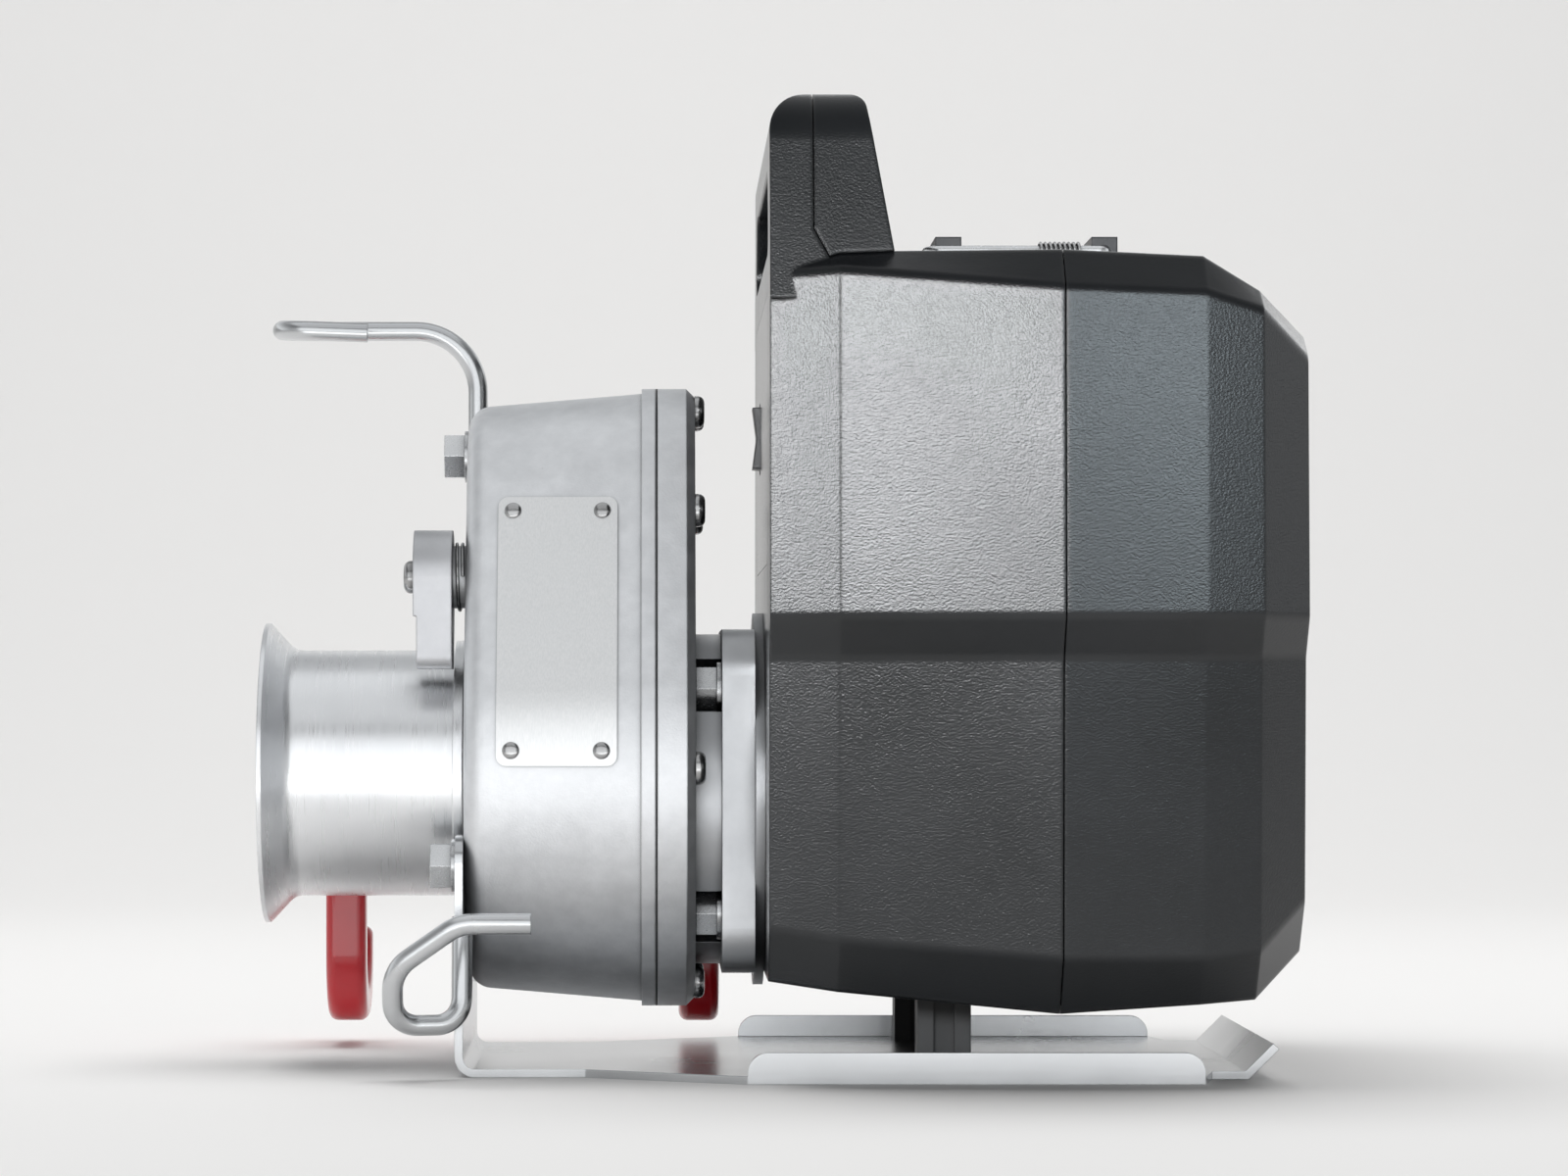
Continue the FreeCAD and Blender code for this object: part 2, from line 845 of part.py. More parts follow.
def least_coil_gap(radius, pitch, turns, wire_radius):
    """The least clear distance between wire lengths at least half a turn apart, on points."""
    steps = 24
    angles = [step * 2 * math.pi / steps for step in range(int(turns * steps) + 1)]
    points = [helix_point(radius, pitch, angle)[0] for angle in angles]
    gaps = [
        (points[late] - points[early]).Length - wire_radius * 2
        for early in range(len(points))
        for late in range(early + steps // 2, len(points))
    ]
    return min(gaps)


def coil_solid(radius, length, turns, wire_radius):
    """A spring along +X from the origin: one unbroken wire, a pair of arcs for each quarter turn."""
    radius, length, turns, wire_radius = (float(number) for number in (radius, length, turns, wire_radius))
    pitch = (length - wire_radius * 2) / turns
    quarters = int(round(turns * 4))
    edges = []
    for quarter in range(quarters):
        start, start_way = helix_point(radius, pitch, quarter * math.pi / 2)
        end, end_way = helix_point(radius, pitch, (quarter + 1) * math.pi / 2)
        edges += biarc(start, start_way, end, end_way)
    print("spring: least gap to itself %.2f mm" % least_coil_gap(radius, pitch, turns, wire_radius))
    solid = rod_along(Part.Wire(edges), wire_radius)
    return solid.translated(point(wire_radius, 0, 0))


fill_sheet()

# Places shared by the pieces of the gear case, measured from the drum's axis
fine_centres = size.fine_module * (size.fine_pinion_teeth + size.fine_gear_teeth) / 2
coarse_centres = size.coarse_module * (size.coarse_pinion_teeth + size.coarse_gear_teeth) / 2
second_shaft_rise = coarse_centres
first_shaft_rise = second_shaft_rise - fine_centres
motor_rise = first_shaft_rise - fine_centres
case_front = -size.case_depth
case_inner_front = case_front + size.case_front_wall
drum_bearing_front = case_front + size.drum_seal_width
drum_bearing_back = drum_bearing_front + size.drum_bearing_width
drum_gear_front = drum_bearing_back + size.layer_gap
drum_gear_back = drum_gear_front + size.drum_gear_width
bridge_front = drum_gear_back + size.layer_gap
bridge_back = bridge_front + size.bridge_thickness
second_layer_front = bridge_back + size.layer_gap
second_layer_back = second_layer_front + size.fine_gear_width
first_layer_front = second_layer_back + size.layer_gap
first_layer_back = first_layer_front + size.fine_gear_width
cover_inner = size.gasket_thickness
cover_outer = cover_inner + size.cover_thickness
cavity_round = size.case_round_radius - size.case_draft - size.case_wall
cavity_crown = size.case_crown_radius - size.case_draft - size.case_wall
seat_round = cavity_round + size.ledge_step
seat_crown = cavity_crown + size.ledge_step
lip_round = size.case_round_radius + size.case_lip_step
lip_crown = size.case_crown_radius + size.case_lip_step
drum_axis_height = size.skid_sheet + size.skid_case_gap + lip_round
motor_axis_height = drum_axis_height + motor_rise


def cover_screw_spots():
    spots = []
    for side in (-1, 1):
        for angle in (size.low_screw_degrees, size.side_screw_degrees):
            reach = lip_round - size.cover_screw_inset
            spots.append((reach * cosine(angle) * side, reach * sine(angle)))
        for angle in (size.shoulder_screw_degrees, size.crown_screw_degrees):
            reach = lip_crown - size.cover_screw_inset
            rise = size.case_crown_rise + reach * sine(angle)
            spots.append((reach * cosine(angle) * side, rise))
    return spots


def bridge_screw_spots():
    rise = size.case_crown_rise - size.bridge_screw_drop
    return [(size.bridge_screw_half_spread * side, rise) for side in (-1, 1)]


def anchor_bolt_spots():
    spots = []
    for along in (-1, 1):
        for up in (-1, 1):
            x = -size.anchor_pad_centre + size.anchor_bolt_half_length * along
            spots.append((x, size.anchor_bolt_half_height * up))
    return spots


def skid_bolt_spots():
    return [(size.skid_bolt_half_spread * side, -size.skid_bolt_drop) for side in (-1, 1)]


def on_drum_axis(body, label):
    return place(keep(body, label), 0, 0, drum_axis_height)


def case_wall_drawings(body, growth):
    """The outer wall's outline behind the lip and, drawn in by the casting draft, at the front."""
    wide = Drawing(body, "YZ_Plane", -size.case_lip_depth)
    wide.teardrop(size.case_round_radius + growth, size.case_crown_radius + growth, size.case_crown_rise)
    narrow = Drawing(body, "YZ_Plane", case_front)
    narrow.teardrop(
        size.case_round_radius + growth - size.case_draft,
        size.case_crown_radius + growth - size.case_draft,
        size.case_crown_rise,
    )
    return [wide, narrow]


def build_gear_case():
    body = new_body("gear_case")
    loft(body, case_wall_drawings(body, 0))
    soften(body, "Fillet", size.case_edge_radius, lambda edge: edge_lies_at(edge, X_AXIS, case_front))
    lip = Drawing(body, "YZ_Plane").teardrop(lip_round, lip_crown, size.case_crown_rise)
    pad(body, lip, size.case_lip_depth, reverse=True)
    boss = Drawing(body, "YZ_Plane", case_front)
    boss.circle(-size.lock_pivot_reach, size.lock_pivot_rise, size.lock_boss_radius)
    pad(body, boss, size.lock_boss_height, reverse=True)
    # A cast pad on the far side carries the anchor bracket
    anchor_pad = Drawing(body, "XZ_Plane", -(cavity_round - size.anchor_pad_root))
    anchor_pad.rectangle(
        -size.anchor_pad_centre - size.anchor_pad_half_length,
        -size.anchor_pad_centre + size.anchor_pad_half_length,
        -size.anchor_pad_half_height,
        size.anchor_pad_half_height,
    )
    pad_height = size.anchor_pad_face - cavity_round + size.anchor_pad_root
    pad(body, anchor_pad, pad_height, reverse=True)
    # The cavity is a straight pull with a ledge for the bearing bridge
    seat = Drawing(body, "YZ_Plane").teardrop(seat_round, seat_crown, size.case_crown_rise)
    pocket(body, seat, -bridge_front)
    cavity = Drawing(body, "YZ_Plane").teardrop(cavity_round, cavity_crown, size.case_crown_rise)
    pocket(body, cavity, -case_inner_front)
    hub = Drawing(body, "YZ_Plane", case_inner_front)
    hub.circle(0, 0, size.drum_bearing_diameter / 2 + size.bearing_hub_wall)
    pad(body, hub, drum_bearing_back - case_inner_front)
    bosses = Drawing(body, "YZ_Plane", case_inner_front)
    for across, up in bridge_screw_spots():
        bosses.circle(across, up, size.bridge_boss_radius)
    pad(body, bosses, bridge_front - case_inner_front)
    bore = Drawing(body, "XZ_Plane").outline([
        (case_front - size.overrun, 0),
        (drum_bearing_back + size.overrun, 0),
        (drum_bearing_back + size.overrun, size.drum_bearing_diameter / 2 + size.running_clearance),
        (drum_bearing_front, size.drum_bearing_diameter / 2 + size.running_clearance),
        (drum_bearing_front, size.drum_seal_radius + size.running_clearance),
        (case_front - size.overrun, size.drum_seal_radius + size.running_clearance),
    ])
    groove(body, bore)
    bearing_pocket = Drawing(body, "YZ_Plane", case_inner_front)
    bearing_pocket.circle(0, second_shaft_rise, size.shaft_bearing_diameter / 2 + size.running_clearance)
    pocket(body, bearing_pocket, size.shaft_bearing_width)
    screw_holes = Drawing(body, "YZ_Plane")
    for across, up in cover_screw_spots():
        screw_holes.circle(across, up, size.cover_screw_radius + size.running_clearance)
    pocket(body, screw_holes, size.cover_screw_reach - cover_outer)
    bridge_holes = Drawing(body, "YZ_Plane", bridge_front)
    for across, up in bridge_screw_spots():
        bridge_holes.circle(across, up, size.bridge_screw_radius + size.running_clearance)
    pocket(body, bridge_holes, size.bridge_screw_reach)
    front_holes = Drawing(body, "YZ_Plane", case_front)
    for across, up in skid_bolt_spots():
        front_holes.circle(across, up, size.hex_bolt_radius + size.running_clearance)
    front_holes.circle(0, size.case_plug_rise, size.hex_bolt_radius + size.running_clearance)
    pocket(body, front_holes, size.front_thread_depth, reverse=True)
    pivot_hole = Drawing(body, "YZ_Plane", case_front - size.lock_boss_height)
    hole_radius = size.lock_screw_radius + size.running_clearance
    pivot_hole.circle(-size.lock_pivot_reach, size.lock_pivot_rise, hole_radius)
    pocket(body, pivot_hole, size.lock_boss_height + size.front_thread_depth, reverse=True)
    anchor_holes = Drawing(body, "XZ_Plane", -size.anchor_pad_face)
    for across, up in anchor_bolt_spots():
        anchor_holes.circle(across, up, size.hex_bolt_radius + size.running_clearance)
    pocket(body, anchor_holes, size.anchor_thread_depth, reverse=True)
    return on_drum_axis(body, "gear_case")


def build_case_gasket():
    body = new_body("case_gasket")
    sheet_drawing = Drawing(body, "YZ_Plane").teardrop(lip_round, lip_crown, size.case_crown_rise)
    sheet_drawing.teardrop(seat_round, seat_crown, size.case_crown_rise)
    for across, up in cover_screw_spots():
        sheet_drawing.circle(across, up, size.cover_screw_radius + size.part_clearance)
    pad(body, sheet_drawing, size.gasket_thickness)
    return on_drum_axis(body, "case_gasket")


def build_gear_cover():
    body = new_body("gear_cover")
    plate = Drawing(body, "YZ_Plane", cover_inner).teardrop(lip_round, lip_crown, size.case_crown_rise)
    pad(body, plate, size.cover_thickness)
    soften(body, "Chamfer", size.cover_bevel, lambda edge: edge_lies_at(edge, X_AXIS, cover_outer))
    pockets = Drawing(body, "YZ_Plane", cover_inner)
    for rise in (first_shaft_rise, second_shaft_rise):
        pockets.circle(0, rise, size.shaft_bearing_diameter / 2 + size.running_clearance)
    pocket(body, pockets, size.shaft_bearing_width, reverse=True)
    shaft_way = Drawing(body, "YZ_Plane", cover_inner)
    shaft_way.circle(0, motor_rise, size.motor_shaft_way_radius)
    pocket(body, shaft_way, reverse=True)
    holes = Drawing(body, "YZ_Plane", cover_inner)
    for across, up in cover_screw_spots():
        holes.circle(across, up, size.cover_screw_radius + size.running_clearance)
    for across, up in adapter_screw_spots():
        holes.circle(across, motor_rise + up, size.adapter_screw_radius + size.running_clearance)
    pocket(body, holes, reverse=True)
    heads = Drawing(body, "YZ_Plane", cover_inner)
    for across, up in adapter_screw_spots():
        heads.circle(across, motor_rise + up, size.adapter_head_radius + size.part_clearance)
    pocket(body, heads, size.adapter_head_height, reverse=True)
    return on_drum_axis(body, "gear_cover")


def button_screw(name, stem_radius, stem_length, head_radius, head_height):
    """A domed screw along X whose head points to +X and seats at the origin."""
    body = new_body(name)
    profile = Drawing(body, "XZ_Plane").outline([
        (-stem_length, 0),
        (head_height, 0),
        (head_height, head_radius, head_height * size.button_dome_share),
        (0, head_radius),
        (0, stem_radius),
        (-stem_length, stem_radius),
    ])
    revolve(body, profile)
    socket = Drawing(body, "YZ_Plane", head_height).hexagon(0, 0, size.button_socket_radius * 2)
    pocket(body, socket, size.button_socket_depth)
    return body


def hex_bolt(name, stem_length):
    """A flanged hex bolt along X whose head points to -X and seats at the origin."""
    body = new_body(name)
    flange = Drawing(body, "XZ_Plane").outline([
        (-size.hex_flange_thickness, 0),
        (stem_length, 0),
        (stem_length, size.hex_bolt_radius),
        (0, size.hex_bolt_radius),
        (0, size.hex_flange_radius),
        (-size.hex_flange_thickness, size.hex_flange_radius),
    ])
    revolve(body, flange)
    head = Drawing(body, "YZ_Plane", -size.hex_flange_thickness).hexagon(0, 0, size.hex_head_width)
    pad(body, head, size.hex_head_height, reverse=True)
    return body


def build_case_screws():
    master = button_screw(
        "cover_screw", size.cover_screw_radius, size.cover_screw_reach,
        size.button_head_radius, size.button_head_height,
    )
    spots = [(cover_outer, across, drum_axis_height + up) for across, up in cover_screw_spots()]
    copies("cover_screws", master, spots)
    plug = keep(hex_bolt("case_plug", size.front_thread_depth), "case_plug")
    place(plug, case_front, 0, drum_axis_height + size.case_plug_rise)


def build_nameplate():
    """A thin plate that follows the near wall, flat above and round the curve below."""
    skin = new_body("plate_skin")
    loft(skin, case_wall_drawings(skin, size.running_clearance + size.plate_thickness))
    loft(skin, case_wall_drawings(skin, size.running_clearance), "SubtractiveLoft")
    place(skin, 0, 0, drum_axis_height)
    window = new_body("plate_window")
    left = case_front + size.plate_front_margin
    low = size.plate_low_rise
    radius = size.plate_corner_radius
    outline = Drawing(window, "XZ_Plane").outline([
        (left, low, radius),
        (left + size.plate_width, low, radius),
        (left + size.plate_width, low + size.plate_length, radius),
        (left, low + size.plate_length, radius),
    ])
    pad(window, outline, size.case_round_radius * 2)
    place(window, 0, 0, drum_axis_height)
    plate = doc.addObject("Part::Common", "nameplate")
    plate.Base = skin
    plate.Tool = window
    return keep(plate, "nameplate")


def near_wall_frame(x, rise):
    """The point of the near wall at that place, above the drum's axis, and the wall's outward normal."""
    slope = float(size.case_draft) / float(size.case_depth - size.case_lip_depth)
    round_radius = float(size.case_round_radius) + (float(x) + float(size.case_lip_depth)) * slope
    narrowing = float(size.case_round_radius) - float(size.case_crown_radius)
    lean = math.asin(narrowing / float(size.case_crown_rise))
    if float(rise) > round_radius * math.sin(lean):
        out = FreeCAD.Vector(0, -math.cos(lean), math.sin(lean))
        across = (round_radius - float(rise) * math.sin(lean)) / math.cos(lean)
    else:
        angle = math.asin(float(rise) / round_radius)
        out = FreeCAD.Vector(0, -math.cos(angle), math.sin(angle))
        across = round_radius * math.cos(angle)
    tilted = out - X_AXIS * slope
    return point(x, -across, drum_axis_height + rise), tilted.normalize()


def build_nameplate_rivets():
    left = case_front + size.plate_front_margin + size.rivet_inset
    right = left + size.plate_width - size.rivet_inset * 2
    low = size.plate_low_rise + size.rivet_inset
    high = low + size.plate_length - size.rivet_inset * 2
    lift = float(size.plate_thickness + size.running_clearance * 2)
    rivets = []
    for x in (left, right):
        for rise in (low, high):
            seat, out = near_wall_frame(x, rise)
            radius = float(size.rivet_head_radius)
            head = Part.makeSphere(radius, FreeCAD.Vector(), Z_AXIS, 0, FULL_TURN / 4, FULL_TURN)
            squash = FreeCAD.Matrix()
            squash.scale(1, 1, float(size.rivet_head_height / size.rivet_head_radius))
            head = head.transformGeometry(squash)
            head.Placement = FreeCAD.Placement(seat + out * lift, FreeCAD.Rotation(Z_AXIS, out))
            rivets.append(head)
    return shaped("nameplate_rivets", Part.makeCompound(rivets))

adapter_flange_front = cover_outer + size.adapter_neck_length
adapter_back = adapter_flange_front + size.adapter_flange_thickness
motor_plate_back = adapter_back + size.motor_plate_thickness
shell_front = motor_plate_back
shell_front_inner = shell_front + size.shell_wall
can_flange_back = shell_front_inner + size.can_flange_thickness
can_back = can_flange_back + size.can_length
can_inner_back = can_back - size.can_back_wall
motor_front_bearing = adapter_back - size.shaft_bearing_width
motor_rear_bearing = can_inner_back
fan_front = can_back + size.fan_gap
fan_back = fan_front + size.fan_width


def corner_spots(half_spread):
    return [(half_spread * side, half_spread * level) for side in (-1, 1) for level in (-1, 1)]


def adapter_screw_spots():
    return corner_spots(size.adapter_screw_half_spread)


def adapter_bolt_spots():
    return corner_spots(size.adapter_bolt_half_spread)


def on_motor_axis(body, label):
    return place(keep(body, label), 0, 0, motor_axis_height)


def build_motor_adapter():
    body = new_body("motor_adapter")
    neck = Drawing(body, "YZ_Plane", cover_outer).circle(0, 0, size.adapter_neck_radius)
    pad(body, neck, size.adapter_neck_length)
    half = size.adapter_flange_half
    corner = size.adapter_corner_radius
    flange = Drawing(body, "YZ_Plane", adapter_flange_front).outline([
        (-half, -half, corner), (half, -half, corner), (half, half, corner), (-half, half, corner),
    ])
    pad(body, flange, size.adapter_flange_thickness)
    # Four scallops let the bolt heads in between the neck and the flange
    scallops = Drawing(body, "YZ_Plane", adapter_flange_front)
    for across, up in adapter_bolt_spots():
        scallops.circle(across, up, size.adapter_scallop_radius)
    pocket(body, scallops, size.adapter_neck_length)
    holes = Drawing(body, "YZ_Plane", adapter_back)
    for across, up in adapter_bolt_spots():
        holes.circle(across, up, size.hex_bolt_radius + size.running_clearance)
    holes.circle(0, 0, size.shaft_bearing_bore / 2 + size.adapter_shaft_gap)
    pocket(body, holes)
    bearing_seat = Drawing(body, "YZ_Plane", adapter_back)
    bearing_seat.circle(0, 0, size.shaft_bearing_diameter / 2 + size.running_clearance)
    pocket(body, bearing_seat, size.shaft_bearing_width)
    threads = Drawing(body, "YZ_Plane", cover_outer)
    for across, up in adapter_screw_spots():
        threads.circle(across, up, size.adapter_screw_radius + size.running_clearance)
    pocket(body, threads, size.adapter_thread_depth, reverse=True)
    return on_motor_axis(body, "motor_adapter")


def build_adapter_fixings():
    shoulder = size.cover_thickness - size.adapter_head_height
    screw = new_body("adapter_screw")
    profile = Drawing(screw, "XZ_Plane").outline([
        (-size.adapter_head_height, 0),
        (shoulder + size.adapter_thread_depth - size.overrun, 0),
        (shoulder + size.adapter_thread_depth - size.overrun, size.adapter_screw_radius),
        (0, size.adapter_screw_radius),
        (0, size.adapter_head_radius),
        (-size.adapter_head_height, size.adapter_head_radius),
    ])
    revolve(screw, profile)
    socket = Drawing(screw, "YZ_Plane", -size.adapter_head_height)
    socket.hexagon(0, 0, size.adapter_screw_radius * 2)
    pocket(screw, socket, size.adapter_head_height / 2, reverse=True)
    seat = cover_inner + size.adapter_head_height
    copies("adapter_screws", screw, [
        (seat, across, motor_axis_height + up) for across, up in adapter_screw_spots()
    ])
    clamp = size.adapter_flange_thickness + size.motor_plate_thickness + size.shell_wall
    bolt = hex_bolt("adapter_bolt", clamp + size.can_flange_thickness)
    copies("adapter_bolts", bolt, [
        (adapter_flange_front, across, motor_axis_height + up) for across, up in adapter_bolt_spots()
    ])


def build_motor_plate():
    body = new_body("motor_plate")
    plate = Drawing(body, "YZ_Plane", adapter_back).circle(0, 0, size.motor_plate_radius)
    plate.circle(0, 0, size.shaft_bearing_diameter / 2 - size.bearing_race)
    for across, up in adapter_bolt_spots():
        plate.circle(across, up, size.hex_bolt_radius + size.running_clearance)
    pad(body, plate, size.motor_plate_thickness)
    slot = Drawing(body, "YZ_Plane", motor_plate_back).rectangle(
        size.vent_inner_radius, size.vent_outer_radius, -size.vent_width / 2, size.vent_width / 2
    )
    first_slot = pocket(body, slot, size.motor_plate_thickness)
    polar_pattern(body, first_slot, int(float(size.vent_count)))
    return on_motor_axis(body, "motor_plate")


def build_motor_can():
    body = new_body("motor_can")
    corner = size.can_flange_margin
    half = size.adapter_bolt_half_spread + corner
    flange = Drawing(body, "YZ_Plane", shell_front_inner).outline([
        (-half, -half, corner), (half, -half, corner), (half, half, corner), (-half, half, corner),
    ])
    pad(body, flange, size.can_flange_thickness)
    barrel = Drawing(body, "YZ_Plane", shell_front_inner).circle(0, 0, size.can_radius)
    pad(body, barrel, can_back - shell_front_inner)
    inner = size.can_radius - size.can_wall
    bearing_back = can_inner_back + size.shaft_bearing_width
    bearing_radius = size.shaft_bearing_diameter / 2 + size.running_clearance
    shaft_way = size.shaft_bearing_bore / 2 + size.adapter_shaft_gap
    hollow = Drawing(body, "XZ_Plane").outline([
        (shell_front_inner - size.overrun, 0),
        (can_back + size.overrun, 0),
        (can_back + size.overrun, shaft_way),
        (bearing_back, shaft_way),
        (bearing_back, bearing_radius),
        (can_inner_back, bearing_radius),
        (can_inner_back, inner),
        (shell_front_inner - size.overrun, inner),
    ])
    groove(body, hollow)
    holes = Drawing(body, "YZ_Plane", can_flange_back)
    for across, up in adapter_bolt_spots():
        holes.circle(across, up, size.hex_bolt_radius + size.running_clearance)
    pocket(body, holes, size.can_flange_thickness)
    return on_motor_axis(body, "motor_can")


def build_motor_stator():
    body = new_body("motor_stator")
    front = can_flange_back + size.stator_end_gap
    length = can_inner_back - size.stator_end_gap - front
    core = Drawing(body, "YZ_Plane", front)
    core.circle(0, 0, size.can_radius - size.can_wall - size.running_clearance)
    core.circle(0, 0, size.rotor_radius + size.rotor_air_gap)
    pad(body, core, length)
    slot = Drawing(body, "YZ_Plane", front + length).rectangle(
        size.rotor_radius, size.stator_slot_radius, -size.stator_slot_width / 2, size.stator_slot_width / 2
    )
    first_slot = pocket(body, slot, length)
    polar_pattern(body, first_slot, int(float(size.stator_slots)))
    return on_motor_axis(body, "motor_stator")


def build_motor_rotor():
    rotor = new_body("motor_rotor")
    front = can_flange_back + size.stator_end_gap
    length = can_inner_back - size.stator_end_gap - front
    core = Drawing(rotor, "YZ_Plane", front).circle(0, 0, size.rotor_radius)
    core.circle(0, 0, size.rotor_seat_radius + size.running_clearance)
    pad(rotor, core, length)
    on_motor_axis(rotor, "motor_rotor")
    shaft = new_body("motor_shaft")
    journal = size.shaft_bearing_bore / 2 - size.running_clearance
    profile = Drawing(shaft, "XZ_Plane").outline([
        (first_layer_front, 0),
        (fan_back, 0),
        (fan_back, journal),
        (can_inner_back - size.part_clearance, journal),
        (can_inner_back - size.part_clearance, size.rotor_seat_radius),
        (adapter_back + size.part_clearance, size.rotor_seat_radius),
        (adapter_back + size.part_clearance, journal),
        (first_layer_back, journal),
        (first_layer_back, size.motor_pinion_bore / 2),
        (first_layer_front, size.motor_pinion_bore / 2),
    ])
    revolve(shaft, profile)
    on_motor_axis(shaft, "motor_shaft")


def build_cooling_fan():
    body = new_body("cooling_fan")
    journal = size.shaft_bearing_bore / 2
    hub = Drawing(body, "YZ_Plane", fan_front).circle(0, 0, size.fan_hub_radius)
    hub.circle(0, 0, journal)
    pad(body, hub, size.fan_width)
    disc_drawing = Drawing(body, "YZ_Plane", fan_front).circle(0, 0, size.fan_radius)
    disc_drawing.circle(0, 0, journal)
    pad(body, disc_drawing, size.fan_disc_thickness)
    half = size.fan_blade_thickness / 2
    blade = Drawing(body, "YZ_Plane", fan_front)
    blade.rectangle(size.fan_hub_radius - size.overrun, size.fan_radius, -half, half)
    first_blade = pad(body, blade, size.fan_width)
    polar_pattern(body, first_blade, int(float(size.fan_blades)))
    return on_motor_axis(body, "cooling_fan")

drum_back = case_front - size.drum_case_gap
drum_front = drum_back - size.drum_length
drum_web_front = drum_front + size.drum_front_recess
drum_inner_radius = size.drum_radius - size.drum_wall
key_rise = size.key_height - size.key_shaft_depth


def build_drum():
    body = new_body("drum")
    bore = size.drum_seat_radius + size.running_clearance
    profile = Drawing(body, "XZ_Plane").outline([
        (drum_front, drum_inner_radius),
        (drum_front, size.drum_rim_radius),
        (drum_front + size.drum_rim_width, size.drum_rim_radius),
        (drum_front + size.drum_flare_width, size.drum_radius, size.drum_flare_radius),
        (drum_back - size.drum_collar_width, size.drum_radius),
        (drum_back - size.drum_collar_width, size.drum_collar_radius),
        (drum_back, size.drum_collar_radius),
        (drum_back, drum_inner_radius),
        (drum_back - size.drum_back_recess, drum_inner_radius),
        (drum_back - size.drum_back_recess, size.drum_hub_radius),
        (drum_back, size.drum_hub_radius),
        (drum_back, bore),
        (drum_web_front, bore),
        (drum_web_front, drum_inner_radius),
    ])
    revolve(body, profile)
    keyway = Drawing(body, "YZ_Plane", drum_back).rectangle(
        -size.key_width / 2 - size.running_clearance,
        size.key_width / 2 + size.running_clearance,
        size.drum_seat_radius / 2,
        size.drum_seat_radius + key_rise + size.running_clearance,
    )
    pocket(body, keyway, drum_back - drum_web_front)
    return on_drum_axis(body, "drum")


def build_drum_shaft():
    body = new_body("drum_shaft")
    profile = Drawing(body, "XZ_Plane").outline([
        (drum_web_front - size.shaft_thread_length, 0),
        (bridge_back, 0),
        (bridge_back, size.rear_bearing_bore / 2 - size.running_clearance),
        (drum_gear_back, size.rear_bearing_bore / 2 - size.running_clearance),
        (drum_gear_back, size.gear_seat_radius),
        (drum_bearing_back, size.gear_seat_radius),
        (drum_bearing_back, size.drum_bearing_bore / 2 - size.running_clearance),
        (drum_bearing_front, size.drum_bearing_bore / 2 - size.running_clearance),
        (drum_bearing_front, size.shaft_shoulder_radius),
        (drum_back, size.shaft_shoulder_radius),
        (drum_back, size.drum_seat_radius),
        (drum_web_front, size.drum_seat_radius),
        (drum_web_front, size.shaft_thread_radius),
        (drum_web_front - size.shaft_thread_length, size.shaft_thread_radius),
    ])
    revolve(body, profile)
    for low_corner, seat_radius, length in key_places():
        slot = Drawing(body, "XY_Plane", seat_radius + size.overrun).rectangle(
            low_corner - size.running_clearance,
            low_corner + length + size.running_clearance,
            -size.key_width / 2 - size.running_clearance,
            size.key_width / 2 + size.running_clearance,
        )
        pocket(body, slot, size.key_shaft_depth + size.overrun)
    return on_drum_axis(body, "drum_shaft")


def key_places():
    drum_key_start = drum_back - size.key_end_gap - size.drum_key_length
    gear_key_start = drum_gear_front + size.key_end_gap
    return [
        (drum_key_start, size.drum_seat_radius, size.drum_key_length),
        (gear_key_start, size.gear_seat_radius, size.gear_key_length),
    ]


def build_keys():
    keys = []
    for start, seat_radius, length in key_places():
        key = doc.addObject("Part::Box", "key")
        bind(key, "Length", length)
        bind(key, "Width", size.key_width)
        bind(key, "Height", size.key_height)
        low = drum_axis_height + seat_radius - size.key_shaft_depth
        keys.append(place(key, start, -size.key_width / 2, low))
    pair = doc.addObject("Part::Compound", "drum_keys")
    pair.Links = keys
    return keep(pair, "drum_keys")


def build_drum_nut():
    body = new_body("drum_nut")
    bore = size.shaft_thread_radius + size.running_clearance
    flange = Drawing(body, "YZ_Plane", drum_web_front).circle(0, 0, size.drum_nut_flange_radius)
    flange.circle(0, 0, bore)
    pad(body, flange, size.drum_nut_flange, reverse=True)
    block = Drawing(body, "YZ_Plane", drum_web_front - size.drum_nut_flange)
    block.hexagon(0, 0, size.drum_nut_width)
    block.circle(0, 0, bore)
    pad(body, block, size.drum_nut_height, reverse=True)
    return on_drum_axis(body, "drum_nut")


def sealed_ring(name, front, bore, outer, width, wall, recess):
    """A ring along X with an annular recess in both faces, as a sealed bearing or a lip seal has."""
    body = new_body(name)
    inside = bore / 2 + wall
    outside = outer / 2 - wall
    profile = Drawing(body, "XZ_Plane").outline([
        (front, bore / 2),
        (front, inside),
        (front + recess, inside),
        (front + recess, outside),
        (front, outside),
        (front, outer / 2),
        (front + width, outer / 2),
        (front + width, outside),
        (front + width - recess, outside),
        (front + width - recess, inside),
        (front + width, inside),
        (front + width, bore / 2),
    ])
    revolve(body, profile)
    return body


